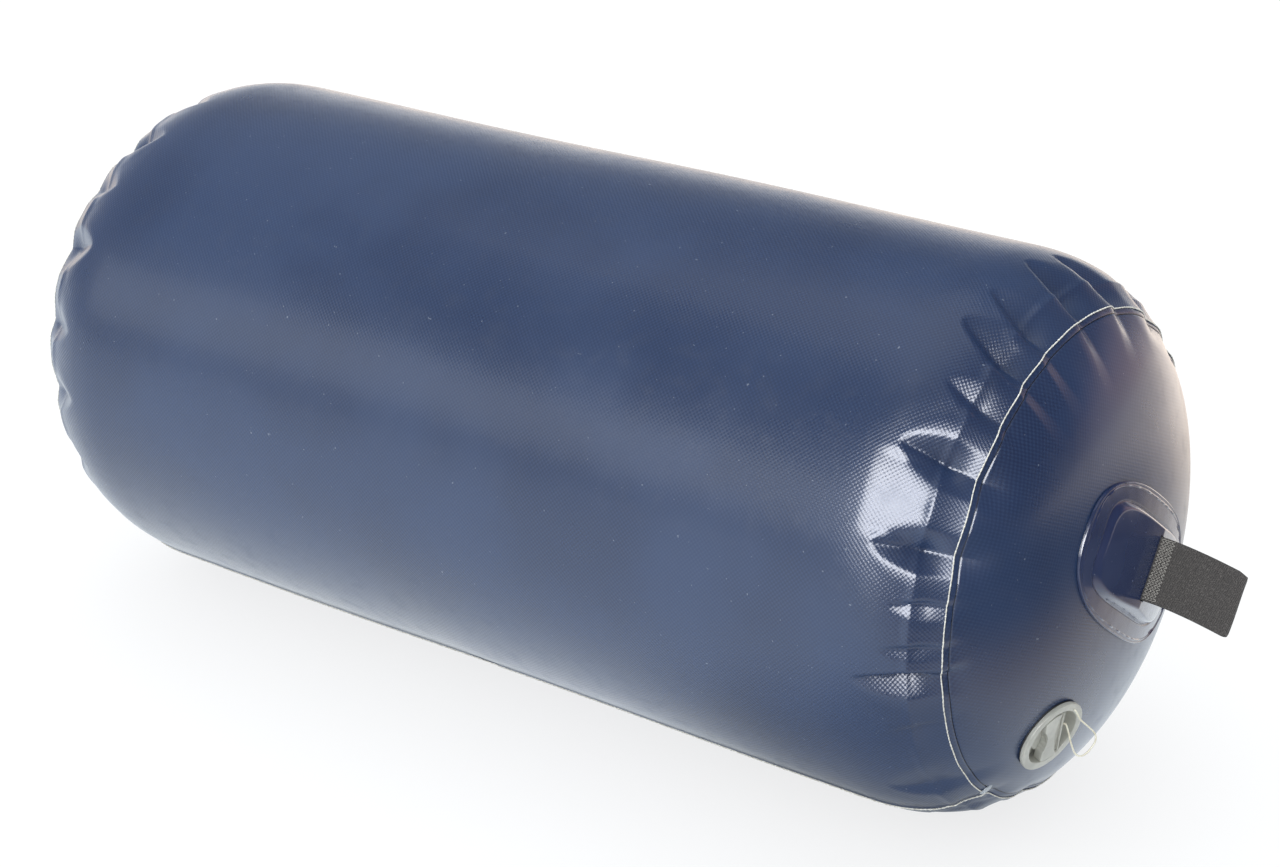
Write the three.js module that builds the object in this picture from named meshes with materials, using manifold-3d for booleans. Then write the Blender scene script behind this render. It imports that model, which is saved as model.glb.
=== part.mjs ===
// Pneumatic fender: an inflated cylinder of coated fabric with domed ends, a webbing loop in a moulded
// patch on each end, and an inflation valve with a tethered cap in one end.
// Millimetres, +Z up. The body axis runs along X, and the origin is under the middle, on the floor.
import * as THREE from "three";
import { mergeVertices } from "three/addons/utils/BufferGeometryUtils.js";
import Module from "manifold-3d";

const wasm = await Module();
wasm.setup();

// Air chamber
const CHAMBER_RADIUS = 225;
const CHAMBER_LENGTH = 1022;
const DOME_DEPTH = 147.6;
const DOME_POWER = 2.45;
const FABRIC = 1.2;
const FLAT_SPOT_WIDTH = 82;
const CHAMBER_SEGMENTS = 128;
const OUTLINE_DIVISIONS = 600;
// The raw edge of the side wall, as a distance along the cloth from the middle of the end.
const SEAM_ARC = 206;
const LAP_WIDTH = 25;
const CREASE_OFFSET = 6;
const CREASE_DEPTH = 1.4;
const STEP_RUN = 1;
// Where the surface has points along the cloth, on the end and behind the lap.
const END_ARCS = [0, 58, 106, 142, 172];
const BACK_ARCS = [246, 263, 281];

// Gathers of the side wall where it is joined to the end. Each has the angle of its tip on the barrel and of
// its foot at the seam, its half width in degrees, its depth, its reach back on the barrel and onto the end,
// and how far its valley leans to the wider angles, as a share of the half width.
// Angles are taken from straight up, towards the side where the valve is.
const NEAR_GATHERS = [
  [69.9, 69.2, 4.2, 13, 61, 36, 0],
  [50.4, 52.2, 4.8, 14, 62, 38, 0],
  [97, 98.5, 5, 6.5, 66, 34, -0.55],
  [84, 84, 3, 3.5, 44, 18, -0.3],
  [21.8, 25.3, 5, 11, 64, 58, 0.5],
  [11.6, 15, 4.8, 10, 62, 55, 0.5],
  [36, 38, 3.6, 6, 50, 36, 0.4],
  [-3.6, -1, 4.8, 12, 66, 60, 0.5],
  [-14, -18, 5, 10, 64, 50, 0.4],
  [116, 114, 5, 3, 50, 30, 0.5],
  [129, 128, 6, 5.5, 60, 34, 0.5],
  [149, 147, 5, 6, 54, 26, 0],
  [163, 165, 5.5, 6, 54, 26, 0],
  [-34, -36, 5, 8, 58, 30, 0.3],
  [-50, -49, 5.5, 10, 62, 34, -0.2],
  [-67, -66, 4.6, 7, 54, 26, 0.2],
  [-80, -83, 5, 10, 62, 32, 0.2],
  [-101, -99, 4.8, 7, 52, 26, -0.2],
  [-115, -117, 5.2, 9, 60, 32, 0.2],
  [-134, -133, 5, 6, 54, 26, 0],
  [-152, -150, 5.5, 7, 56, 26, 0],
  [-171, -170, 5, 5, 48, 24, 0],
];
const FAR_GATHERS = [
  [8, 6, 5, 9, 60, 30, 0.3],
  [24, 26, 5.2, 10, 62, 32, -0.3],
  [40, 39, 4.5, 7, 52, 26, 0.2],
  [56, 58, 5.5, 11, 62, 34, -0.2],
  [76, 75, 5, 8, 56, 28, 0.2],
  [92, 94, 5.2, 10, 60, 32, 0.2],
  [112, 111, 5, 7, 52, 26, -0.2],
  [129, 131, 5.2, 8, 58, 30, 0.2],
  [150, 148, 5, 6, 50, 24, 0],
  [168, 169, 5, 5, 50, 24, 0],
  [-9, -11, 5.2, 10, 60, 32, 0.3],
  [-27, -26, 5, 8, 54, 28, -0.3],
  [-43, -45, 5.5, 11, 62, 34, 0.3],
  [-61, -60, 5, 7, 52, 26, 0],
  [-77, -79, 5.2, 9, 58, 30, 0.3],
  [-97, -96, 5, 8, 54, 28, -0.2],
  [-113, -115, 5.5, 10, 60, 32, 0.2],
  [-133, -131, 5, 7, 50, 26, 0],
  [-149, -151, 5.2, 7, 56, 28, 0],
  [-169, -168, 5, 5, 50, 24, 0],
];
// How quickly a gather opens from its tip, how much the welded lap holds it shut, and how deep and how much
// wider it is on the end.
const GATHER_OPENING = 1.35;
const GATHER_TIP_POWER = 0.62;
const LAP_HOLD = 0.62;
const LAP_HOLD_REACH = 27;
const END_SHARE = 0.38;
const END_SPREAD = 0.9;
// Roundness of its valley and of its shoulders, and the cloth pushed up beside it.
const VALLEY_ROUND = 0.0064;
const SHOULDER_ROUND = 0.012;
const BULGE_SHARE = 0.1;
const BULGE_AT = 1.7;
const BULGE_WIDTH = 0.5;

// Anchor patch, one on each end
const PATCH_FLANGE_LENGTH = 194;
const PATCH_FLANGE_WIDTH = 112;
const PATCH_FLANGE_POWER = 2.6;
const BOSS_LENGTH = 148;
const BOSS_WIDTH = 76;
const BOSS_POWER = 3.2;
const PATCH_WALL = 1.9;
const BEAD_HEIGHT = 0.9;
const RIDGE_HEIGHT = 10.5;
const SHOULDER_HEIGHT = 6.5;
const WALL_RISE = 67;
const SHOULDER_BLEND = 4;
const PATCH_TURN = THREE.MathUtils.degToRad(36);
const PATCH_OFF_AXIS = 6.5;
const PATCH_SEGMENTS = 24;

// Webbing loop
const WEBBING_WIDTH = 50;
const WEBBING_PLY = 1.8;
const EYE_GAP = 3;
const LOOP_HEIGHT = 82;
const LOOP_DROOP = 11.6;
const DROOP_POWER = 1.5;
const LEG_REACH = 44;
const LEG_FOOT = 0.9;
const LEG_TOP = 4.2;
const STRAIGHT_FROM = 8;
const LOOP_STEPS = 6;

// Inflation valve, measured in its own frame from the seat that the gasket lies on
const VALVE_OFF_AXIS = 136.2;
const VALVE_ANGLE = THREE.MathUtils.degToRad(141.6);
const SEAT_DEPTH = 2.2;
const VALVE_FLANGE_RADIUS = 31;
const VALVE_FLANGE_HEIGHT = 3.6;
const GASKET_THICKNESS = 1;
const SHANK_RADIUS = 26;
const SHANK_LENGTH = 10;
const CUP_RADIUS = 24.4;
const CUP_DRAFT = 0.3;
const CUP_DEPTH = 10;
const CUP_FLOOR_THICKNESS = 2.2;
const SKIRT_WALL = 2;
const RIM_ROUND = 1.2;
const SOCKET_RADIUS = 15;
const SOCKET_WALL = 2.2;
const SOCKET_DEPTH = 11.2;
const SPIDER_THICKNESS = 2;
const SPIDER_HOLE_RADIUS = 3;
const SPIDER_HOLE_CIRCLE = 8.5;
const SPIDER_HOLES = 4;
const SPIDER_HOLE_SIDES = 12;
const NUT_RADIUS = 31.2;
const NUT_HEIGHT = 7;
const NUT_NOTCHES = 6;
const NUT_NOTCH_WIDTH = 6;
const NUT_NOTCH_DEPTH = 2;
const POCKET_DEPTH = 28;
const TURNED_SEGMENTS = 32;
const SMALL_SEGMENTS = 16;

// Plunger that opens and shuts the valve
const STEM_RADIUS = 2;
const STEM_PLATE_RADIUS = 9;
const STEM_PLATE_THICKNESS = 1.4;
const DIAPHRAGM_RADIUS = 14;
const DIAPHRAGM_THICKNESS = 1.5;
const BUTTON_RADIUS = 5.5;
const BUTTON_THICKNESS = 1.6;
const SPRING_SPACE = 6.4;
const SPRING_RADIUS = 3.8;
const SPRING_WIRE = 0.9;
const SPRING_TURNS = 3;
const SPRING_STEPS_PER_TURN = 10;
const SPRING_SIDES = 6;

// Valve cap, with a grip bar across it that is scalloped and ribbed on one side
const CAP_DISC_RADIUS = 16.5;
const CAP_DISC_THICKNESS = 2;
const CAP_PLUG_DEPTH = 8;
const CAP_PLUG_WALL = 2.5;
const CAP_SEAL_THICKNESS = 1.2;
const CAP_SEAL_RADIUS = 16.2;
const GRIP_PROUD = 0.4;
const GRIP_TO_RIBS = 10;
const GRIP_TO_LIP = 9.4;
const SCALLOP_WAIST = 5.8;
const SCALLOP_HALF_LENGTH = 13;
const GRIP_RIBS = 8;
const GRIP_RIB_DEPTH = 0.6;
const LEDGE_DROP = 2.2;
const LEDGE_WAIST = -1.5;
const LEDGE_END = -6;
const LEDGE_STEPS = 8;
const LIP_WIDTH = 1.3;
const LIP_DROP = 0.5;
const GRIP_TURN = THREE.MathUtils.degToRad(53);

// Cap tether, a thin limp cord. Its route is in the valve's frame, from the flange to the cap.
const TETHER_DIAMETER = 1.4;
const TETHER_SIDES = 8;
const TETHER_STEPS = 28;
const TETHER_ROUTE = [
  [26.3, 3.4, 5.5],
  [26.1, 2.8, 7],
  [25, 0.4, 8.6],
  [23.7, -3, 10.4],
  [23, -6.6, 12.6],
  [22.8, -11.4, 16.2],
  [22.4, -16.2, 20],
  [21, -19.4, 22.3],
  [18.4, -21.4, 23.8],
  [14.9, -22.4, 24.5],
  [8.6, -22.9, 24.6],
  [3.6, -22.4, 23.7],
  [1, -20.9, 21.7],
  [0.9, -18.5, 18.9],
  [3, -15.7, 15.8],
  [6, -12.5, 12.4],
  [9.3, -9.4, 9.2],
  [11.9, -6.7, 6.5],
  [13.4, -4.3, 4.6],
  [12.9, -2.3, 3.7],
  [11.4, -1.1, 3.5],
];

// Clearances
const GAP = 0.3;
const SLOT_END_CLEARANCE = 1;
const SEAT_CLEARANCE = 0.6;
const GASKET_INSET = 0.5;
const CUP_CLEARANCE = 0.8;
const POCKET_CLEARANCE = 0.8;
const OVERLAP = 0.5;

// Worked out from the sizes above
const HALF_LENGTH = CHAMBER_LENGTH / 2;
const BARREL_HALF = HALF_LENGTH - DOME_DEPTH;
const AXIS_HEIGHT = Math.sqrt(CHAMBER_RADIUS ** 2 - (FLAT_SPOT_WIDTH / 2) ** 2);
const LOOP_ROOT = RIDGE_HEIGHT + PATCH_WALL + GAP;
const FLANGE_UNDERSIDE = GASKET_THICKNESS + 2 * GAP;
const RIM_TOP = FLANGE_UNDERSIDE + VALVE_FLANGE_HEIGHT;
const CUP_BOTTOM = RIM_TOP - CUP_DEPTH;
const CUP_FLOOR_RADIUS = CUP_RADIUS - CUP_DRAFT;
const SOCKET_BOTTOM = CUP_BOTTOM - SOCKET_DEPTH;
const SPIDER_BOTTOM = SOCKET_BOTTOM - SPIDER_THICKNESS;
const STEM_BORE = STEM_RADIUS + GAP;
const DIAPHRAGM_TOP = SPIDER_BOTTOM - GAP;
const DIAPHRAGM_BOTTOM = DIAPHRAGM_TOP - DIAPHRAGM_THICKNESS;
const STEM_PLATE_TOP = DIAPHRAGM_BOTTOM - GAP;
const BUTTON_BOTTOM = SOCKET_BOTTOM + SPRING_SPACE;
const BUTTON_TOP = BUTTON_BOTTOM + BUTTON_THICKNESS;
const NUT_TOP = -FABRIC - GAP;
const PLUG_RADIUS = SOCKET_RADIUS - GAP;
const CAP_DISC_BOTTOM = CUP_BOTTOM + CAP_SEAL_THICKNESS + 2 * GAP;
const CAP_DISC_TOP = CAP_DISC_BOTTOM + CAP_DISC_THICKNESS;
const GRIP_RADIUS = CUP_FLOOR_RADIUS - CUP_CLEARANCE;
const GRIP_TOP = RIM_TOP + GRIP_PROUD;
const LEDGE_TOP = GRIP_TOP - LEDGE_DROP;

const coatedFabric = new THREE.MeshStandardMaterial({ color: 0x2f4166, roughness: 0.32, metalness: 0 });
const mouldedVinyl = new THREE.MeshStandardMaterial({ color: 0x2b3a5c, roughness: 0.2, metalness: 0 });
const webbingWeave = new THREE.MeshStandardMaterial({ color: 0x3d3b3a, roughness: 0.85, metalness: 0 });
const valvePlastic = new THREE.MeshStandardMaterial({ color: 0xc9ccc4, roughness: 0.45, metalness: 0 });
const sealRubber = new THREE.MeshStandardMaterial({ color: 0x26282b, roughness: 0.8, metalness: 0 });
const springSteel = new THREE.MeshStandardMaterial({ color: 0xb4b6b8, roughness: 0.3, metalness: 1 });
const tetherPlastic = new THREE.MeshStandardMaterial({ color: 0xe9e2cb, roughness: 0.5, metalness: 0 });

// Helpers

// A closed geometry as a solid that can be joined and cut.
function solidFrom(geometry, matrix = new THREE.Matrix4()) {
  const bare = geometry.clone().applyMatrix4(matrix);
  bare.deleteAttribute("normal");
  bare.deleteAttribute("uv");
  const merged = mergeVertices(bare, 1e-4);
  const corners = merged.index.array;
  const kept = [];
  for (let i = 0; i < corners.length; i += 3) {
    const [a, b, c] = corners.slice(i, i + 3);
    if (a !== b && b !== c && c !== a) kept.push(a, b, c);
  }
  const vertProperties = new Float32Array(merged.attributes.position.array);
  return new wasm.Manifold(new wasm.Mesh({ numProp: 3, vertProperties, triVerts: new Uint32Array(kept) }));
}

function geometryFrom(solid) {
  const made = solid.getMesh();
  const geometry = new THREE.BufferGeometry();
  geometry.setAttribute("position", new THREE.BufferAttribute(made.vertProperties, 3));
  geometry.setIndex(new THREE.BufferAttribute(made.triVerts, 1));
  geometry.computeVertexNormals();
  return geometry;
}

function mesh(name, geometry, material) {
  const made = new THREE.Mesh(geometry, material);
  made.name = name;
  return made;
}

// A closed outline of [radius, height] corners, counterclockwise, turned about the Z axis.
function turned(corners, segments = TURNED_SEGMENTS) {
  const points = [...corners, corners[0]].map(([radius, height]) => new THREE.Vector2(radius, height));
  return new THREE.LatheGeometry(points, segments).rotateX(Math.PI / 2);
}

// A flat outline raised from one height to another.
function raised(shape, bottom, top, curveSegments = 5) {
  const depth = top - bottom;
  return new THREE.ExtrudeGeometry(shape, { depth, bevelEnabled: false, curveSegments }).translate(0, 0, bottom);
}

// The smaller of two heights, with the corner between them rounded over the given blend.
function softMin(a, b, blend) {
  const near = Math.max(blend - Math.abs(a - b), 0) / blend;
  return Math.min(a, b) - (near * near * blend) / 4;
}

// Domed end

// Place along the body axis of the domed end's surface, at a distance from that axis.
function domeX(radius) {
  const share = (radius / CHAMBER_RADIUS) ** DOME_POWER;
  return BARREL_HALF + DOME_DEPTH * (1 - share) ** (1 / DOME_POWER);
}

function domeSlope(radius) {
  const share = (radius / CHAMBER_RADIUS) ** DOME_POWER;
  const fall = (radius / CHAMBER_RADIUS) ** (DOME_POWER - 1) * (1 - share) ** (1 / DOME_POWER - 1);
  return (-DOME_DEPTH / CHAMBER_RADIUS) * fall;
}

// The end's outline from its middle out to the barrel, as distance from the axis and place along it.
class DomeOutline extends THREE.Curve {
  getPoint(t, target = new THREE.Vector2()) {
    const turn = (t * Math.PI) / 2;
    const sine = (Math.sin(turn) / CHAMBER_RADIUS) ** DOME_POWER;
    const cosine = (Math.cos(turn) / DOME_DEPTH) ** DOME_POWER;
    const distance = (sine + cosine) ** (-1 / DOME_POWER);
    return target.set(distance * Math.sin(turn), BARREL_HALF + distance * Math.cos(turn));
  }
}
const domeOutline = new DomeOutline();
domeOutline.arcLengthDivisions = OUTLINE_DIVISIONS;
const DOME_ARC = domeOutline.getLength();

// Point and outward direction on the cloth, at a distance along it from the middle of the end.
function clothAt(arc) {
  if (arc >= DOME_ARC) {
    const point = new THREE.Vector2(CHAMBER_RADIUS, BARREL_HALF - (arc - DOME_ARC));
    return { point, outward: new THREE.Vector2(1, 0) };
  }
  const point = domeOutline.getPointAt(arc / DOME_ARC);
  const along = domeOutline.getTangentAt(arc / DOME_ARC);
  return { point, outward: new THREE.Vector2(-along.y, along.x) };
}

// Air chamber

// Stations along the cloth of one end, from its middle to the barrel, with the surface's lift there.
const END_STATIONS = [
  ...END_ARCS.map((arc) => [arc, 0]),
  [SEAM_ARC - 2 * CREASE_OFFSET, 0],
  [SEAM_ARC - CREASE_OFFSET, -CREASE_DEPTH],
  [SEAM_ARC - GAP, 0],
  [SEAM_ARC, FABRIC],
  [SEAM_ARC + LAP_WIDTH / 2, FABRIC],
  [SEAM_ARC + LAP_WIDTH, FABRIC],
  [SEAM_ARC + LAP_WIDTH + STEP_RUN, 0],
  ...BACK_ARCS.map((arc) => [arc, 0]),
  [DOME_ARC, 0],
];

// Strength of a gather and its width over its half width, at a share of its reach back on the barrel.
function gatherOnBarrel(share, past) {
  const opening = Math.min(GATHER_OPENING * (1 - share) ** GATHER_TIP_POWER, 1);
  const held = 1 - LAP_HOLD * THREE.MathUtils.smoothstep(LAP_HOLD_REACH - past, 0, LAP_HOLD_REACH);
  return { strength: opening * held, width: Math.max(opening, GAP / LAP_WIDTH) };
}

// The same at a share of its reach onto the end.
function gatherOnEnd(share) {
  const strength = END_SHARE * (1 - THREE.MathUtils.smoothstep(share, 0, 1));
  return { strength, width: 1 + END_SPREAD * share };
}

// How far one gather draws the cloth in at a place: a valley with nearly flat walls and rounded shoulders, and
// the cloth pushed up a little on both sides.
function gatherDepth([tip, foot, halfWidth, depth, back, front, lean], arc, angle) {
  const past = arc - SEAM_ARC;
  const share = past > 0 ? past / back : -past / front;
  if (share >= 1) return 0;
  const centre = past > 0 ? foot + (tip - foot) * share : foot;
  const { strength, width } = past > 0 ? gatherOnBarrel(share, past) : gatherOnEnd(share);
  const turn = THREE.MathUtils.euclideanModulo(angle - centre + 180, 360) - 180;
  const across = turn / (halfWidth * width) - lean;
  const off = across > 0 ? across / (1 - lean) : -across / (1 + lean);
  const wall = 1 - Math.sqrt(off ** 2 + VALLEY_ROUND);
  const valley = (wall + Math.sqrt(wall ** 2 + SHOULDER_ROUND)) / 2;
  const bulge = BULGE_SHARE * Math.exp(-(((off - BULGE_AT) / BULGE_WIDTH) ** 2));
  return depth * strength * (valley - bulge);
}

// The inflated bag with its seams, its gathers and the flat spot that it rests on.
function inflatedBag() {
  const end = END_STATIONS.map(([arc, lift]) => ({ arc, lift, ...clothAt(arc) }));
  const far = end.map((station) => ({ ...station, side: -1, gathers: FAR_GATHERS }));
  const near = end.map((station) => ({ ...station, side: 1, gathers: NEAR_GATHERS }));
  const stations = [...far, ...near.reverse()];
  const outline = stations.map(({ point, side }) => new THREE.Vector2(point.x, side * point.y));
  const bag = new THREE.LatheGeometry(outline, CHAMBER_SEGMENTS);
  const place = bag.attributes.position;
  for (let i = 0; i < place.count; i++) {
    const { arc, lift, point, outward, side, gathers } = stations[i % stations.length];
    const around = (2 * Math.PI * Math.floor(i / stations.length)) / CHAMBER_SEGMENTS;
    const angle = THREE.MathUtils.radToDeg(around);
    const drawn = gathers.reduce((sum, gather) => sum + gatherDepth(gather, arc, angle), 0);
    const radius = point.x + outward.x * (lift - drawn);
    const along = side * (point.y + outward.y * (lift - drawn));
    const height = Math.max(radius * Math.cos(around), -AXIS_HEIGHT);
    place.setXYZ(i, along, -radius * Math.sin(around), height);
  }
  return bag;
}

// Frame of the valve's seat: X points along the cloth to the middle of the end, and Z out of it.
function valveFrame() {
  const radial = new THREE.Vector3(0, -Math.sin(VALVE_ANGLE), Math.cos(VALVE_ANGLE));
  const outward = new THREE.Vector3(1, 0, 0).addScaledVector(radial, -domeSlope(VALVE_OFF_AXIS)).normalize();
  const inward = radial.clone().negate().projectOnPlane(outward).normalize();
  const seat = radial.clone().multiplyScalar(VALVE_OFF_AXIS).setX(domeX(VALVE_OFF_AXIS));
  seat.addScaledVector(outward, -SEAT_DEPTH);
  return new THREE.Matrix4().makeBasis(inward, outward.clone().cross(inward), outward).setPosition(seat);
}

// A flat seat on the cloth, a hole in it for the shank, and room behind it for the lock nut.
function valveHole() {
  const hole = SHANK_RADIUS + GAP;
  const pocket = NUT_RADIUS + POCKET_CLEARANCE;
  const seat = VALVE_FLANGE_RADIUS + SEAT_CLEARANCE;
  return turned([
    [0, -POCKET_DEPTH],
    [pocket, -POCKET_DEPTH],
    [pocket, -FABRIC],
    [hole, -FABRIC],
    [hole, 0],
    [seat, 0],
    [seat, RIM_TOP],
    [0, RIM_TOP],
  ]);
}

function airChamber() {
  const bag = solidFrom(inflatedBag());
  const hole = solidFrom(valveHole(), valveFrame());
  return mesh("air_chamber", geometryFrom(bag.subtract(hole)), coatedFabric);
}

// Anchor patch

// Directions on the end: along the patch, and across it, which is the direction of the webbing's width.
const patchLong = new THREE.Vector3(0, Math.cos(PATCH_TURN), -Math.sin(PATCH_TURN));
const patchWide = new THREE.Vector3(0, Math.sin(PATCH_TURN), Math.cos(PATCH_TURN));
const outOfEnd = new THREE.Vector3(1, 0, 0);
const patchMiddle = patchWide.clone().multiplyScalar(PATCH_OFF_AXIS).addScaledVector(outOfEnd, HALF_LENGTH);

// Rings of the patch from its middle out over the flange and back underneath. spread is 0 in the middle, 1 at
// the boss's foot and 2 at the flange's edge. wall is the height over the underside.
const PATCH_RINGS = [
  ...[0, 0.35, 0.6, 0.72, 0.82, 0.91, 1, 1.8].map((spread) => ({ spread, wall: PATCH_WALL })),
  { spread: 1.88, wall: PATCH_WALL + BEAD_HEIGHT },
  { spread: 1.96, wall: PATCH_WALL + BEAD_HEIGHT },
  { spread: 2, wall: PATCH_WALL },
  ...[2, 1.4, 0.95, 0.82, 0.62, 0.35, 0].map((spread) => ({ spread, wall: 0 })),
];

// Height of the boss: a tent roof with its ridge across the middle, and steep walls all round.
function bossHeight(long, spread, wall) {
  const fall = (RIDGE_HEIGHT - SHOULDER_HEIGHT) * (Math.abs(long) / (BOSS_LENGTH / 2));
  const missing = Math.max(PATCH_WALL - wall, 0);
  const height = softMin(RIDGE_HEIGHT - fall, WALL_RISE * (1 - spread), SHOULDER_BLEND) - missing;
  return Math.max(height, 0);
}

// A point of the flat outline that a ring follows.
function patchOutline(spread, turn) {
  const out = Math.max(spread - 1, 0);
  const halfLong = THREE.MathUtils.lerp(BOSS_LENGTH, PATCH_FLANGE_LENGTH, out) / 2;
  const halfWide = THREE.MathUtils.lerp(BOSS_WIDTH, PATCH_FLANGE_WIDTH, out) / 2;
  const power = THREE.MathUtils.lerp(BOSS_POWER, PATCH_FLANGE_POWER, out);
  const cosine = (Math.abs(Math.cos(turn)) / halfLong) ** power;
  const sine = (Math.abs(Math.sin(turn)) / halfWide) ** power;
  const distance = Math.min(spread, 1) * (cosine + sine) ** (-1 / power);
  return [distance * Math.cos(turn), distance * Math.sin(turn)];
}

// One moulded shell that follows the domed end, open below, with a slot for the webbing.
function anchorPatch(name) {
  const outline = PATCH_RINGS.map(({ spread }, i) => new THREE.Vector2(spread, PATCH_RINGS.length - i));
  const shell = new THREE.LatheGeometry(outline.reverse(), PATCH_SEGMENTS);
  const rings = [...PATCH_RINGS].reverse();
  const place = shell.attributes.position;
  const at = new THREE.Vector3();
  for (let i = 0; i < place.count; i++) {
    const { spread, wall } = rings[i % rings.length];
    const turn = (2 * Math.PI * Math.floor(i / rings.length)) / PATCH_SEGMENTS;
    const [long, wide] = patchOutline(spread, turn);
    const lift = GAP + wall + bossHeight(long, Math.min(spread, 1), wall);
    const fromAxis = wide + PATCH_OFF_AXIS;
    at.copy(outOfEnd).multiplyScalar(domeX(Math.hypot(long, fromAxis)) + lift);
    at.addScaledVector(patchLong, long).addScaledVector(patchWide, fromAxis);
    place.setXYZ(i, at.x, at.y, at.z);
  }
  const room = EYE_GAP + 2 * WEBBING_PLY + 2 * GAP;
  const slot = new THREE.BoxGeometry(LOOP_HEIGHT, room, WEBBING_WIDTH + 2 * SLOT_END_CLEARANCE);
  const middle = patchMiddle.clone().addScaledVector(outOfEnd, PATCH_WALL + LOOP_HEIGHT / 2);
  const frame = new THREE.Matrix4().makeBasis(outOfEnd, patchLong, patchWide).setPosition(middle);
  return mesh(name, geometryFrom(solidFrom(shell).subtract(solidFrom(slot, frame))), mouldedVinyl);
}

// Webbing loop

// How far the loop hangs down, towards the floor, at a height over the middle of the end.
function loopDroop(height) {
  const out = Math.max(height - LOOP_ROOT, 0) / (LOOP_HEIGHT - LOOP_ROOT);
  return LOOP_DROOP * out ** DROOP_POWER;
}

// Middle line of the strap's thickness, as place along the patch and height over the middle of the end:
// up one leg under the roof, out through the slot, round the eye and back down the other leg.
function webbingLine() {
  const half = (EYE_GAP + WEBBING_PLY) / 2;
  const eye = LOOP_HEIGHT - WEBBING_PLY / 2 - half;
  const ply = Array.from({ length: LOOP_STEPS + 1 }, (_, i) => {
    return THREE.MathUtils.lerp(STRAIGHT_FROM, eye, i / LOOP_STEPS);
  });
  const turnings = Array.from({ length: LOOP_STEPS - 1 }, (_, i) => ((i + 1) * Math.PI) / LOOP_STEPS);
  const standing = [
    ...ply.map((height) => [-half, height]),
    ...turnings.map((turn) => [-half * Math.cos(turn), eye + half * Math.sin(turn)]),
    ...ply.reverse().map((height) => [half, height]),
  ];
  const drooping = standing.map(([long, height]) => {
    return new THREE.Vector2(long + loopDroop(height) * Math.sin(PATCH_TURN), height);
  });
  const bend = half + WEBBING_PLY;
  const upLeg = [new THREE.Vector2(-LEG_REACH, LEG_FOOT), new THREE.Vector2(-bend, LEG_TOP)];
  const downLeg = [new THREE.Vector2(bend, LEG_TOP), new THREE.Vector2(LEG_REACH, LEG_FOOT)];
  return [...upLeg, ...drooping, ...downLeg];
}

// The strap's thickness set off to both sides of its middle line, as one closed outline.
function ribbon(line, thickness) {
  const normals = line.map((point, i) => {
    const before = line[Math.max(i - 1, 0)];
    const after = line[Math.min(i + 1, line.length - 1)];
    const into = point.clone().sub(before).normalize();
    const onward = after.clone().sub(point).normalize();
    const along = into.clone().add(onward).normalize();
    const spread = Math.max(along.dot(into.lengthSq() ? into : onward), 0.5);
    return new THREE.Vector2(-along.y, along.x).multiplyScalar(thickness / 2 / spread);
  });
  const left = line.map((point, i) => point.clone().add(normals[i]));
  const right = line.map((point, i) => point.clone().sub(normals[i]));
  return new THREE.Shape([...left, ...right.reverse()]);
}

function webbingLoop(name) {
  const shape = ribbon(webbingLine(), WEBBING_PLY);
  const strap = new THREE.ExtrudeGeometry(shape, { depth: WEBBING_WIDTH, bevelEnabled: false });
  strap.translate(0, 0, -WEBBING_WIDTH / 2);
  const place = strap.attributes.position;
  for (let i = 0; i < place.count; i++) {
    place.setZ(i, place.getZ(i) + loopDroop(place.getY(i)) * Math.cos(PATCH_TURN));
  }
  const frame = new THREE.Matrix4().makeBasis(patchLong, outOfEnd, patchWide.clone().negate());
  return mesh(name, strap.applyMatrix4(frame.setPosition(patchMiddle)), webbingWeave);
}

// Valve pieces, in the valve's frame

// Flange, cup, threaded skirt, socket for the cap and the spider that guides the plunger.
function valveBody() {
  const socketOutside = SOCKET_RADIUS + SOCKET_WALL;
  const underCup = CUP_BOTTOM - CUP_FLOOR_THICKNESS;
  const skirtInside = SHANK_RADIUS - SKIRT_WALL;
  const roundMiddle = RIM_ROUND * (1 - Math.SQRT1_2);
  const outline = [
    [STEM_BORE, SPIDER_BOTTOM],
    [socketOutside, SPIDER_BOTTOM],
    [socketOutside, underCup],
    [skirtInside, underCup],
    [skirtInside, -SHANK_LENGTH],
    [SHANK_RADIUS, -SHANK_LENGTH],
    [SHANK_RADIUS, FLANGE_UNDERSIDE],
    [VALVE_FLANGE_RADIUS, FLANGE_UNDERSIDE],
    [VALVE_FLANGE_RADIUS, RIM_TOP - RIM_ROUND],
    [VALVE_FLANGE_RADIUS - roundMiddle, RIM_TOP - roundMiddle],
    [VALVE_FLANGE_RADIUS - RIM_ROUND, RIM_TOP],
    [CUP_RADIUS + RIM_ROUND, RIM_TOP],
    [CUP_RADIUS, RIM_TOP - RIM_ROUND],
    [CUP_FLOOR_RADIUS, CUP_BOTTOM],
    [SOCKET_RADIUS, CUP_BOTTOM],
    [SOCKET_RADIUS, SOCKET_BOTTOM],
    [STEM_BORE, SOCKET_BOTTOM],
  ];
  let body = solidFrom(turned(outline));
  const length = 2 * SPIDER_THICKNESS;
  const drill = new THREE.CylinderGeometry(SPIDER_HOLE_RADIUS, SPIDER_HOLE_RADIUS, length, SPIDER_HOLE_SIDES);
  drill.rotateX(Math.PI / 2).translate(SPIDER_HOLE_CIRCLE, 0, SPIDER_BOTTOM + SPIDER_THICKNESS / 2);
  for (let i = 0; i < SPIDER_HOLES; i++) {
    const turn = new THREE.Matrix4().makeRotationZ((2 * Math.PI * i) / SPIDER_HOLES);
    body = body.subtract(solidFrom(drill, turn));
  }
  return mesh("valve_body", geometryFrom(body), valvePlastic);
}

// A plain ring of rectangular section.
function flatRing(inner, outer, bottom, top, segments = TURNED_SEGMENTS) {
  const outline = [
    [inner, bottom],
    [outer, bottom],
    [outer, top],
    [inner, top],
  ];
  return turned(outline, segments);
}

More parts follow.
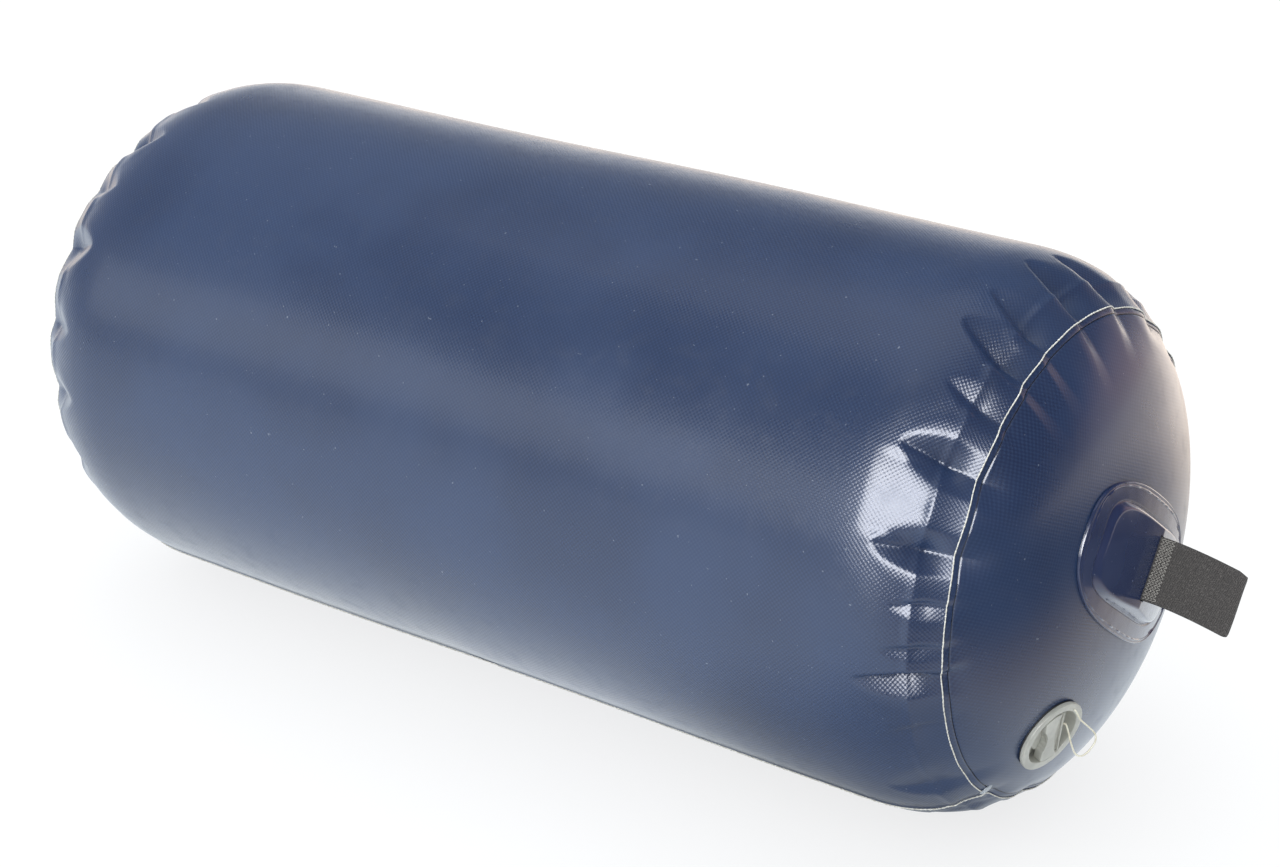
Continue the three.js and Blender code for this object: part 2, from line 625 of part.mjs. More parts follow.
function lockNut() {
  let nut = solidFrom(flatRing(SHANK_RADIUS + GAP, NUT_RADIUS, NUT_TOP - NUT_HEIGHT, NUT_TOP));
  const notch = new THREE.BoxGeometry(2 * NUT_NOTCH_DEPTH, NUT_NOTCH_WIDTH, NUT_HEIGHT);
  notch.translate(NUT_RADIUS, 0, NUT_TOP - NUT_HEIGHT);
  for (let i = 0; i < NUT_NOTCHES; i++) {
    const turn = new THREE.Matrix4().makeRotationZ((2 * Math.PI * i) / NUT_NOTCHES);
    nut = nut.subtract(solidFrom(notch, turn));
  }
  return mesh("valve_lock_nut", geometryFrom(nut), valvePlastic);
}

function valveStem() {
  const bottom = STEM_PLATE_TOP - STEM_PLATE_THICKNESS;
  const outline = [
    [0, bottom],
    [STEM_PLATE_RADIUS, bottom],
    [STEM_PLATE_RADIUS, STEM_PLATE_TOP],
    [STEM_RADIUS, STEM_PLATE_TOP],
    [STEM_RADIUS, BUTTON_TOP],
    [0, BUTTON_TOP],
  ];
  return mesh("valve_stem", turned(outline, SMALL_SEGMENTS), valvePlastic);
}

// Middle line of the spring's wire.
class Coil extends THREE.Curve {
  getPoint(t, target = new THREE.Vector3()) {
    const turn = 2 * Math.PI * SPRING_TURNS * t;
    const low = SOCKET_BOTTOM + GAP + SPRING_WIRE / 2;
    const high = BUTTON_BOTTOM - GAP - SPRING_WIRE / 2;
    const height = THREE.MathUtils.lerp(low, high, t);
    return target.set(SPRING_RADIUS * Math.cos(turn), SPRING_RADIUS * Math.sin(turn), height);
  }
}

// A round bar of so many sides, swept along a curve.
function swept(curve, diameter, sides, steps) {
  const section = Array.from({ length: sides }, (_, i) => {
    const turn = (2 * Math.PI * i) / sides;
    return new THREE.Vector2(Math.cos(turn), Math.sin(turn)).multiplyScalar(diameter / 2);
  });
  return new THREE.ExtrudeGeometry(new THREE.Shape(section), { extrudePath: curve, steps });
}

function valveSpring() {
  const wire = swept(new Coil(), SPRING_WIRE, SPRING_SIDES, SPRING_TURNS * SPRING_STEPS_PER_TURN);
  return mesh("valve_spring", wire, springSteel);
}

function capTether() {
  const route = new THREE.CatmullRomCurve3(TETHER_ROUTE.map((point) => new THREE.Vector3(...point)));
  return mesh("cap_tether", swept(route, TETHER_DIAMETER, TETHER_SIDES, TETHER_STEPS), tetherPlastic);
}

// Angle at which a line parallel to the grip's length, at a distance from the middle, meets the grip's ends.
const endAngle = (across) => Math.asin(across / GRIP_RADIUS);

// Adds the grip's scalloped and ribbed side to its outline.
function gripSide(shape) {
  const waist = (along) => SCALLOP_WAIST + (GRIP_TO_RIBS - SCALLOP_WAIST) * (along / SCALLOP_HALF_LENGTH) ** 2;
  const last = 2 * GRIP_RIBS;
  for (let i = 0; i <= last; i++) {
    const along = SCALLOP_HALF_LENGTH * (1 - (2 * i) / last);
    const rib = i % 2 ? GRIP_RIB_DEPTH : 0;
    shape.lineTo(along, waist(along) + rib);
  }
}

// The whole grip, with its straight side where the lip is.
function gripOutline() {
  const lipEnd = GRIP_RADIUS * Math.cos(endAngle(GRIP_TO_LIP));
  const shape = new THREE.Shape();
  shape.moveTo(-lipEnd, -GRIP_TO_LIP);
  shape.lineTo(lipEnd, -GRIP_TO_LIP);
  shape.absarc(0, 0, GRIP_RADIUS, -endAngle(GRIP_TO_LIP), endAngle(GRIP_TO_RIBS), false);
  gripSide(shape);
  shape.absarc(0, 0, GRIP_RADIUS, Math.PI - endAngle(GRIP_TO_RIBS), Math.PI + endAngle(GRIP_TO_LIP), false);
  return shape;
}

// The high part of the grip, between the ribbed scallop and the curved step down to the ledge.
function crestOutline() {
  const stepEnd = GRIP_RADIUS * Math.cos(endAngle(LEDGE_END));
  const shape = new THREE.Shape();
  shape.moveTo(-stepEnd, LEDGE_END);
  for (let i = 1; i <= LEDGE_STEPS; i++) {
    const share = (2 * i) / LEDGE_STEPS - 1;
    shape.lineTo(stepEnd * share, THREE.MathUtils.lerp(LEDGE_WAIST, LEDGE_END, share ** 2));
  }
  shape.absarc(0, 0, GRIP_RADIUS, endAngle(LEDGE_END), endAngle(GRIP_TO_RIBS), false);
  gripSide(shape);
  shape.absarc(0, 0, GRIP_RADIUS, Math.PI - endAngle(GRIP_TO_RIBS), Math.PI - endAngle(LEDGE_END), false);
  return shape;
}

// A hollow plug under a disc, with the grip on top.
function valveCap() {
  const plugBottom = CAP_DISC_BOTTOM - CAP_PLUG_DEPTH;
  const plug = turned([
    [0, CAP_DISC_BOTTOM],
    [PLUG_RADIUS - CAP_PLUG_WALL, CAP_DISC_BOTTOM],
    [PLUG_RADIUS - CAP_PLUG_WALL, plugBottom],
    [PLUG_RADIUS, plugBottom],
    [PLUG_RADIUS, CAP_DISC_BOTTOM],
    [CAP_DISC_RADIUS, CAP_DISC_BOTTOM],
    [CAP_DISC_RADIUS, CAP_DISC_TOP],
    [0, CAP_DISC_TOP],
  ]);
  const turn = new THREE.Matrix4().makeRotationZ(GRIP_TURN);
  const grip = raised(gripOutline(), CAP_DISC_TOP - OVERLAP, LEDGE_TOP);
  const crest = raised(crestOutline(), LEDGE_TOP - OVERLAP, GRIP_TOP);
  const lipHeight = GRIP_TOP - LIP_DROP - LEDGE_TOP + OVERLAP;
  const lipLength = 2 * GRIP_RADIUS * Math.cos(endAngle(GRIP_TO_LIP + LIP_WIDTH));
  const lip = new THREE.BoxGeometry(lipLength, LIP_WIDTH, lipHeight);
  lip.translate(0, LIP_WIDTH / 2 - GRIP_TO_LIP, LEDGE_TOP - OVERLAP + lipHeight / 2);
  const cap = [grip, crest, lip].reduce((joined, piece) => joined.add(solidFrom(piece, turn)), solidFrom(plug));
  return mesh("valve_cap", geometryFrom(cap), valvePlastic);
}

// Assembly

// The patch and its webbing on one end.
function anchor(side) {
  const group = new THREE.Group();
  group.add(anchorPatch(side + "_anchor_patch"));
  group.add(webbingLoop(side + "_webbing_loop"));
  return group;
}

function inflationValve() {
  const group = new THREE.Group();
  const gasketRadius = VALVE_FLANGE_RADIUS - GASKET_INSET;
  const gasket = flatRing(SHANK_RADIUS + GAP, gasketRadius, GAP, GAP + GASKET_THICKNESS);
  const sealBottom = CUP_BOTTOM + GAP;
  const seal = flatRing(PLUG_RADIUS + GAP, CAP_SEAL_RADIUS, sealBottom, sealBottom + CAP_SEAL_THICKNESS);
  const diaphragm = flatRing(STEM_BORE, DIAPHRAGM_RADIUS, DIAPHRAGM_BOTTOM, DIAPHRAGM_TOP);
  const button = flatRing(STEM_BORE, BUTTON_RADIUS, BUTTON_BOTTOM, BUTTON_TOP, SMALL_SEGMENTS);
  group.add(
    valveBody(),
    mesh("valve_gasket", gasket, sealRubber),
    lockNut(),
    valveCap(),
    mesh("cap_seal", seal, sealRubber),
    valveStem(),
    mesh("valve_diaphragm", diaphragm, sealRubber),
    mesh("stem_button", button, valvePlastic),
    valveSpring(),
    capTether(),
  );
  group.applyMatrix4(valveFrame());
  return group;
}

const fender = new THREE.Group();
fender.position.z = AXIS_HEIGHT;
fender.add(airChamber());
fender.add(anchor("near"));
const farAnchor = anchor("far");
farAnchor.rotation.z = Math.PI;
fender.add(farAnchor);
fender.add(inflationValve());

export default fender;
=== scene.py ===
# Pneumatic fender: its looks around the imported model. Metres, +Z up, the body axis along X.
import math

import bmesh
import bpy
import numpy as np
from mathutils import Matrix, Vector

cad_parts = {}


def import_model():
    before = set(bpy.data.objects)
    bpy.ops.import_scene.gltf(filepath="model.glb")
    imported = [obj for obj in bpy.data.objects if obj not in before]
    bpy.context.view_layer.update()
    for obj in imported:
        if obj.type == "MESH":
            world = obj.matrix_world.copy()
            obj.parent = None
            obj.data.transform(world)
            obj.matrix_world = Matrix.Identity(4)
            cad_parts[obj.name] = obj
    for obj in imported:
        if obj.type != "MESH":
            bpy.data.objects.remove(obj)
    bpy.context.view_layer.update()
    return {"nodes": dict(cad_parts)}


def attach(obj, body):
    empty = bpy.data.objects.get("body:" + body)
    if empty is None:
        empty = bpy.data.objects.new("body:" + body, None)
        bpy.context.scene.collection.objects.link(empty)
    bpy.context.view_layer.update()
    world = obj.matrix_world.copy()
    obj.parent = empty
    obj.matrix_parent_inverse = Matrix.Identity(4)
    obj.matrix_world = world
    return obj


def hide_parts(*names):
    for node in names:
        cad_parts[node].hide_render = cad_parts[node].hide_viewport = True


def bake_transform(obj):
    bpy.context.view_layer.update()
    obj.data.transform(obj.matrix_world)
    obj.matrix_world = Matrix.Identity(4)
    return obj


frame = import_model()

# Air chamber
CHAMBER_RADIUS = 0.225
CHAMBER_LENGTH = 1.022
DOME_DEPTH = 0.1476
DOME_POWER = 2.45
FABRIC = 0.0012
FLAT_SPOT_WIDTH = 0.082
SEAM_ARC = 0.206
LAP_WIDTH = 0.025
CREASE_OFFSET = 0.0052
DOME_STEPS = 4001
BARREL_STEPS = 200

# Gathers, as angles of tip and foot, half width in degrees, depth, reach back and reach onto the end in
# millimetres, and lean: how far the valley's bottom sits towards larger angles.
NEAR_GATHERS = [
    (69.9, 69.2, 4.2, 13, 61, 36, 0), (50.4, 52.2, 4.8, 14, 62, 38, 0), (97.6, 98.1, 2.8, 9.5, 66, 24, -0.6),
    (90.4, 90.4, 1.9, 3.6, 46, 16, -0.5), (81, 81, 2.1, 4.4, 42, 14, -0.5), (21.8, 25.3, 5, 11, 64, 58, 0.5),
    (11.6, 15, 4.8, 10, 62, 55, 0.5), (36, 38, 3.6, 6, 50, 36, 0.4), (-3.6, -1, 4.8, 12, 66, 60, 0.5),
    (-14, -18, 5, 10, 64, 50, 0.4), (111, 111, 3, 2.6, 46, 20, -0.6), (129, 128, 6, 5.5, 60, 34, 0.5),
    (149, 147, 5, 6, 54, 26, 0), (163, 165, 5.5, 6, 54, 26, 0), (-34, -36, 5, 8, 58, 30, 0.3),
    (-50, -49, 5.5, 10, 62, 34, -0.2), (-67, -66, 4.6, 7, 54, 26, 0.2), (-80, -83, 5, 10, 62, 32, 0.2),
    (-101, -99, 4.8, 7, 52, 26, -0.2), (-115, -117, 5.2, 9, 60, 32, 0.2), (-134, -133, 5, 6, 54, 26, 0),
    (-152, -150, 5.5, 7, 56, 26, 0), (-171, -170, 5, 5, 48, 24, 0),
]
FAR_GATHERS = [
    (8, 6, 5, 9, 60, 30, 0.3), (24, 26, 5.2, 10, 62, 32, -0.3), (40, 39, 4.5, 7, 52, 26, 0.2),
    (56, 58, 5.5, 11, 62, 34, -0.2), (76, 75, 5, 8, 56, 28, 0.2), (92, 94, 5.2, 10, 60, 32, 0.2),
    (112, 111, 5, 7, 52, 26, -0.2), (129, 131, 5.2, 8, 58, 30, 0.2), (150, 148, 5, 6, 50, 24, 0),
    (168, 169, 5, 5, 50, 24, 0), (-9, -11, 5.2, 10, 60, 32, 0.3), (-27, -26, 5, 8, 54, 28, -0.3),
    (-43, -45, 5.5, 11, 62, 34, 0.3), (-61, -60, 5, 7, 52, 26, 0), (-77, -79, 5.2, 9, 58, 30, 0.3),
    (-97, -96, 5, 8, 54, 28, -0.2), (-113, -115, 5.5, 10, 60, 32, 0.2), (-133, -131, 5, 7, 50, 26, 0),
    (-149, -151, 5.2, 7, 56, 28, 0), (-169, -168, 5, 5, 50, 24, 0),
]
# Shape of every gather: how much of it the seam holds and how far, in millimetres, the rounding of its two
# lips, and the bulge beside it.
HELD_AT_SEAM = 0.62
HELD_REACH = 27
UPPER_LIP = 0.004
LOWER_LIP = 0.03
SHOULDER_BULGE = 0.05
# Cloth of the near end that is drawn flat between two gathers: its angles, and where it starts and ends past
# the seam.
FLATS = [(51.4, 69.4, 0.0255, 0.072)]
SIDE_SEAM_ANGLE = 144
SIDE_LAP = 6.5
# In millimetres: the lap's rise, its hollow middle, the way in which its step fades out, the width and the
# rise of the strip in front of it, and the depth of the groove beside it.
LAP_RISE = 1.1
LAP_HOLLOW = 1.3
LAP_FADE = 7
STRIP_WIDTH = 5
STRIP_RISE = 0.35
GROOVE_DEPTH = 0.6

# Anchor patch
PATCH_FLANGE_LENGTH = 0.194
PATCH_FLANGE_WIDTH = 0.112
PATCH_FLANGE_POWER = 2.6
BOSS_LENGTH = 0.148
BOSS_WIDTH = 0.076
BOSS_POWER = 4.2
PATCH_WALL = 0.0019
BEAD_HEIGHT = 0.0009
RIDGE_HEIGHT = 0.0105
SHOULDER_HEIGHT = 0.0026
WALL_RISE = 0.067
SHOULDER_BLEND = 0.0016
PATCH_TURN = math.radians(36)
PATCH_OFF_AXIS = 0.0065
PATCH_SEGMENTS = 168

# Webbing loop
WEBBING_WIDTH = 0.05
WEBBING_PLY = 0.0018
EYE_GAP = 0.003
LOOP_HEIGHT = 0.082
LOOP_DROOP = 0.0116
DROOP_POWER = 1.5
LOOP_TWIST = math.radians(5)
LEG_REACH = 0.044
LEG_FOOT = 0.0009
LEG_TOP = 0.0042
STRAIGHT_FROM = 0.008
CORNER_ROUND = 0.006
LOW_CORNER = 0.0042
HIGH_CORNER = 0.0016
STITCH_ROWS = 4
STITCH_POINTS = 34
STITCH_FOOT = 0.0009
STITCH_SPACING = 0.0027
STITCH_RISE = 0.0024
STITCH_THREAD = 0.0009

# Valve, in its own frame, from the seat that its gasket lies on
VALVE_OFF_AXIS = 0.1362
VALVE_ANGLE = math.radians(141.6)
SEAT_DEPTH = 0.0022
VALVE_FLANGE_RADIUS = 0.031
VALVE_FLANGE_HEIGHT = 0.0036
GASKET_THICKNESS = 0.001
SHANK_RADIUS = 0.026
SHANK_LENGTH = 0.01
CUP_RADIUS = 0.0244
CUP_DRAFT = 0.0003
CUP_DEPTH = 0.01
CUP_FLOOR_THICKNESS = 0.0022
SKIRT_WALL = 0.002
MOULDING_ROUND = 0.0008
SOCKET_RADIUS = 0.015
SOCKET_WALL = 0.0022
SOCKET_DEPTH = 0.0112
SPIDER_THICKNESS = 0.002
SPIDER_HOLES = 4
SPIDER_HOLE_RADIUS = 0.003
SPIDER_HOLE_CIRCLE = 0.0085
STEM_RADIUS = 0.002
SPRING_RADIUS = 0.0038
SPRING_WIRE = 0.0009
SPRING_TURNS = 3
NUT_RADIUS = 0.0312
POCKET_DEPTH = 0.028

# Cap
CAP_DISC_RADIUS = 0.0165
CAP_DISC_THICKNESS = 0.002
CAP_EDGE = 0.0004
CAP_PLUG_DEPTH = 0.008
CAP_PLUG_WALL = 0.0025
CAP_SEAL_THICKNESS = 0.0012
GRIP_PROUD = 0.0004
GRIP_SINK = 0.0005
GRIP_TO_RIBS = 0.01
GRIP_TO_LIP = 0.0094
SCALLOP_WAIST = 0.0058
SCALLOP_HALF_LENGTH = 0.013
GRIP_RIBS = 8
GRIP_RIB_DEPTH = 0.0006
RIB_STEPS = 8
LEDGE_DROP = 0.0022
LEDGE_WAIST = -0.0015
LEDGE_END = -0.006
LIP_WIDTH = 0.0013
LIP_DROP = 0.0005
GRIP_TURN = math.radians(53)

# Cap tether. Its route is in the valve's frame, from the flange to the cap.
TETHER_DIAMETER = 0.0014
TETHER_ROUTE = [
    (0.0263, 0.0034, 0.0055), (0.0261, 0.0028, 0.007), (0.025, 0.0004, 0.0086),
    (0.0237, -0.003, 0.0104), (0.023, -0.0066, 0.0126), (0.0228, -0.0114, 0.0162),
    (0.0224, -0.0162, 0.02), (0.021, -0.0194, 0.0223), (0.0184, -0.0214, 0.0238),
    (0.0149, -0.0224, 0.0245), (0.0086, -0.0229, 0.0246), (0.0036, -0.0224, 0.0237),
    (0.001, -0.0209, 0.0217), (0.0009, -0.0185, 0.0189), (0.003, -0.0157, 0.0158),
    (0.006, -0.0125, 0.0124), (0.0093, -0.0094, 0.0092), (0.0119, -0.0067, 0.0065),
    (0.0134, -0.0043, 0.0046), (0.0129, -0.0023, 0.0037), (0.0114, -0.0011, 0.0035),
]

# Clearances
GAP = 0.0003
SLOT_END_CLEARANCE = 0.001
SEAT_CLEARANCE = 0.0006
CUP_CLEARANCE = 0.0008
POCKET_CLEARANCE = 0.0008

# Worked out from the sizes above
HALF_LENGTH = CHAMBER_LENGTH / 2
BARREL_HALF = HALF_LENGTH - DOME_DEPTH
AXIS_HEIGHT = math.sqrt(CHAMBER_RADIUS**2 - (FLAT_SPOT_WIDTH / 2) ** 2)
LOOP_ROOT = RIDGE_HEIGHT + PATCH_WALL + GAP
FLANGE_UNDERSIDE = GASKET_THICKNESS + 2 * GAP
RIM_TOP = FLANGE_UNDERSIDE + VALVE_FLANGE_HEIGHT
CUP_BOTTOM = RIM_TOP - CUP_DEPTH
CUP_FLOOR_RADIUS = CUP_RADIUS - CUP_DRAFT
SOCKET_BOTTOM = CUP_BOTTOM - SOCKET_DEPTH
SPIDER_BOTTOM = SOCKET_BOTTOM - SPIDER_THICKNESS
STEM_BORE = STEM_RADIUS + GAP
PLUG_RADIUS = SOCKET_RADIUS - GAP
CAP_DISC_BOTTOM = CUP_BOTTOM + CAP_SEAL_THICKNESS + 2 * GAP
CAP_DISC_TOP = CAP_DISC_BOTTOM + CAP_DISC_THICKNESS
GRIP_RADIUS = CUP_FLOOR_RADIUS - CUP_CLEARANCE
GRIP_TOP = RIM_TOP + GRIP_PROUD
LEDGE_TOP = GRIP_TOP - LEDGE_DROP

# Camera and light
LENS = 73.97
CAMERA_PLACE = Vector((1.24599, -1.65567, 1.10416))
CAMERA_LOOK = Vector((-0.53651, 0.74422, -0.39786))
FLOOR_REACH = 8
FLOOR_GLOW = 0.79
WINDOW_DISTANCE = 2.6


# Frames and curves

def framed(x, y, z, origin):
    """The transform that has these axes and this origin."""
    return Matrix([(*x, 0), (*y, 0), (*z, 0), (*origin, 1)]).transposed()


def valve_frame():
    """Frame of the valve's seat: X along the cloth to the middle of the end, Z out of it."""
    radial = Vector((0, -math.sin(VALVE_ANGLE), math.cos(VALVE_ANGLE)))
    share = (VALVE_OFF_AXIS / CHAMBER_RADIUS) ** DOME_POWER
    fall = (VALVE_OFF_AXIS / CHAMBER_RADIUS) ** (DOME_POWER - 1) * (1 - share) ** (1 / DOME_POWER - 1)
    slope = -DOME_DEPTH / CHAMBER_RADIUS * fall
    outward = (Vector((1, 0, 0)) - slope * radial).normalized()
    inward = (-radial - (-radial).dot(outward) * outward).normalized()
    along = BARREL_HALF + DOME_DEPTH * (1 - share) ** (1 / DOME_POWER)
    seat = Vector((along, 0, AXIS_HEIGHT)) + VALVE_OFF_AXIS * radial - SEAT_DEPTH * outward
    return framed(inward, outward.cross(inward), outward, seat)


VALVE = valve_frame()


def run_along(points):
    """The distance covered at each point of a route."""
    return np.concatenate([[0], np.cumsum(np.linalg.norm(np.diff(points, axis=0), axis=1))])


def full_turn(count):
    return np.linspace(0, 2 * math.pi, count, endpoint=False)


def smooth_route(points, steps):
    """A curve through the points, as that many even stretches."""
    points = np.array(points)
    before = np.vstack([2 * points[0] - points[1], points[:-1]])
    after = np.vstack([points[1:], 2 * points[-1] - points[-2]])
    heading = (after - before) / 2
    fine = []
    share = np.linspace(0, 1, 12, endpoint=False)[:, None]
    for a, b, ta, tb in zip(points[:-1], points[1:], heading[:-1], heading[1:]):
        square, cube = share**2, share**3
        fine.append((2 * cube - 3 * square + 1) * a + (cube - 2 * square + share) * ta
                    + (3 * square - 2 * cube) * b + (cube - square) * tb)
    fine = np.vstack(fine + [points[-1:]])
    run = run_along(fine)
    even = np.linspace(0, run[-1], steps + 1)
    return np.column_stack([np.interp(even, run, fine[:, axis]) for axis in range(3)])


# Mesh helpers

def placed(name, data):
    made = bpy.data.objects.new(name, data)
    bpy.context.scene.collection.objects.link(made)
    return made


def from_shell(name, shell):
    data = bpy.data.meshes.new(name)
    shell.to_mesh(data)
    shell.free()
    return placed(name, data)


def shade_smooth(data):
    data.polygons.foreach_set("use_smooth", [True] * len(data.polygons))


def new_object(name, verts, faces):
    data = bpy.data.meshes.new(name)
    data.from_pydata([tuple(v) for v in verts], [], [tuple(f) for f in faces])
    data.update()
    shade_smooth(data)
    return placed(name, data)


def grid_faces(rows, columns, closed_rows=False):
    """Quads of a grid that is closed around, its corners numbered row by row."""
    row = np.arange(rows if closed_rows else rows - 1)
    r, c = np.meshgrid(row, np.arange(columns), indexing="ij")
    r2, c2 = (r + 1) % rows, (c + 1) % columns
    quads = np.stack([r * columns + c, r * columns + c2, r2 * columns + c2, r2 * columns + c], axis=-1)
    return quads.reshape(-1, 4)


def capped_faces(rows, columns):
    """The quads of a grid, and a face over each of its ends."""
    first, last = range(columns), range((rows - 1) * columns, rows * columns)
    return [tuple(q) for q in grid_faces(rows, columns)] + [tuple(first)[::-1], tuple(last)]


def tube(name, path, radius, sides=10, closed=False, radii=None):
    """A round tube along a path, with its frame carried along so that it doesn't twist."""
    path = np.array(path, float)
    count = len(path)
    if closed:
        heading = np.roll(path, -1, 0) - np.roll(path, 1, 0)
    else:
        heading = np.gradient(path, axis=0)
    heading /= np.linalg.norm(heading, axis=1)[:, None]
    side = np.zeros_like(path)
    guide = np.array([0, 0, 1.0]) if abs(heading[0][2]) < 0.9 else np.array([0, 1.0, 0])
    for i in range(count):
        guide = guide - heading[i] * guide.dot(heading[i])
        guide /= np.linalg.norm(guide)
        side[i] = guide
    third = np.cross(heading, side)
    turn = full_turn(sides)
    reach = np.full((count, sides), radius) if radii is None else radii
    verts = (path[:, None] + reach[..., None] * (np.cos(turn)[None, :, None] * side[:, None]
             + np.sin(turn)[None, :, None] * third[:, None]))
    faces = grid_faces(count, sides, closed_rows=True) if closed else capped_faces(count, sides)
    return new_object(name, verts.reshape(-1, 3), faces)


def facing_out(obj, merge=False):
    """Turns the faces outwards, and first merges corners that coincide where that is asked."""
    shell = bmesh.new()
    shell.from_mesh(obj.data)
    if merge:
        bmesh.ops.remove_doubles(shell, verts=shell.verts, dist=1e-6)
    bmesh.ops.recalc_face_normals(shell, faces=shell.faces)
    shell.to_mesh(obj.data)
    shell.free()
    return obj


def cut(obj, tool):
    """Takes the tool's solid out of the piece, and deletes the tool."""
    modifier = obj.modifiers.new("cut", "BOOLEAN")
    modifier.operation = "DIFFERENCE"
    modifier.solver = "EXACT"
    modifier.object = tool
    bpy.context.view_layer.objects.active = obj
    bpy.ops.object.modifier_apply(modifier=modifier.name)
    bpy.data.objects.remove(tool)


def sharp_from(obj, degrees):
    """Smooth shading that stays sharp over edges steeper than the angle."""
    shade_smooth(obj.data)
    obj.data.set_sharp_from_angle(angle=math.radians(degrees))


def lathe(name, outline, segments):
    """A closed outline of radius and height, turned about Z."""
    turn = full_turn(segments)
    outline = np.array(outline)
    verts = np.stack([
        outline[:, 0, None] * np.cos(turn),
        outline[:, 0, None] * np.sin(turn),
        np.repeat(outline[:, 1, None], segments, axis=1),
    ], axis=-1).reshape(-1, 3)
    faces = grid_faces(len(outline), segments, closed_rows=True)
    return facing_out(new_object(name, verts, faces), merge=True)


def rounded(outline, radius, steps=4):
    """An outline of corners with each corner rounded, or left where its sides are short."""
    outline = [Vector(p) for p in outline]
    made = []
    for i, corner in enumerate(outline):
        before, after = outline[i - 1], outline[(i + 1) % len(outline)]
        into, onward = (before - corner), (after - corner)
        if min(corner.x, before.x, after.x) < 1e-9 and corner.x < 1e-9:
            made.append(corner)
            continue
        size = min(radius, into.length * 0.45, onward.length * 0.45)
        start, end = corner + into.normalized() * size, corner + onward.normalized() * size
        for k in range(steps + 1):
            t = k / steps
            made.append((1 - t) ** 2 * start + 2 * t * (1 - t) * corner + t * t * end)
    return [(p.x, p.y) for p in made]


# Node helpers

def material(name):
    made = bpy.data.materials.new(name)
    made.use_nodes = True
    return made, made.node_tree, made.node_tree.nodes["Principled BSDF"]


def empty_tree(owner):
    owner.use_nodes = True
    owner.node_tree.nodes.clear()
    return owner.node_tree


def feed(made, inputs):
    """Sets a node's inputs, or links them where the value is another node's output."""
    for key, value in inputs.items():
        if isinstance(value, bpy.types.NodeSocket):
            made.id_data.links.new(value, made.inputs[key])
        else:
            made.inputs[key].default_value = value


def node(tree, kind, inputs=None, **settings):
    """A node with its settings made and its inputs set or linked."""
    made = tree.nodes.new(kind)
    for key, value in settings.items():
        setattr(made, key, value)
    feed(made, inputs or {})
    return made


def maths(operation, a, b=0.0, c=0.0):
    return node(a.id_data, "ShaderNodeMath", {0: a, 1: b, 2: c}, operation=operation).outputs[0]


def times(a, b):
    return maths("MULTIPLY", a, b)


def plus(a, b):
    return maths("ADD", a, b)


def waves(value, length):
    return maths("SINE", times(value, 2 * math.pi / length))


def mixed(factor, a, b):
    """The colour a where the factor is 0, and b where it is 1."""
    return node(factor.id_data, "ShaderNodeMix", {"Factor": factor, 6: a, 7: b}, data_type="RGBA").outputs[2]


def noise(vector, scale, detail=2.0, roughness=0.5):
    inputs = {"Vector": vector, "Scale": scale, "Detail": detail, "Roughness": roughness}
    return node(vector.id_data, "ShaderNodeTexNoise", inputs).outputs["Fac"]


def band(value, low, high, to_low=0.0, to_high=1.0):
    """The value's share of the way from low to high, smoothed and kept between the two results."""
    inputs = {"Value": value, "From Min": low, "From Max": high, "To Min": to_low, "To Max": to_high}
    made = node(value.id_data, "ShaderNodeMapRange", inputs, interpolation_type="SMOOTHSTEP", clamp=True)
    return made.outputs["Result"]


def bumped(height, strength, distance):
    inputs = {"Height": height, "Strength": strength, "Distance": distance}
    return node(height.id_data, "ShaderNodeBump", inputs).outputs["Normal"]


def axes(vector):
    """A vector's X, Y and Z."""
    return node(vector.id_data, "ShaderNodeSeparateXYZ", {0: vector}).outputs


def linear(red, green, blue):
    """A screen colour, 0 to 255, as the light values that a shader takes."""
    def one(value):
        value /= 255
        return value / 12.92 if value <= 0.04045 else ((value + 0.055) / 1.055) ** 2.4
    return (one(red), one(green), one(blue), 1)


def place(tree):
    return node(tree, "ShaderNodeTexCoord").outputs["Object"]


def uv_place(tree, name):
    return node(tree, "ShaderNodeUVMap", uv_map=name).outputs["UV"]


# Materials

NAVY = linear(36, 56, 92)
NAVY_DEEP = linear(29, 46, 79)
NAVY_PALE = linear(50, 71, 105)
# Painted shade for the groove in front of the seam strip.
GROOVE_PAINTED_SHADE = linear(12, 16, 30)
DUST = linear(150, 158, 172)
VINYL_IOR = 1.53
THREAD_PITCH = 0.00185
TWILL_PITCH = 0.0017
RIB_PITCH = 0.0011
PICK_PITCH = 0.0009


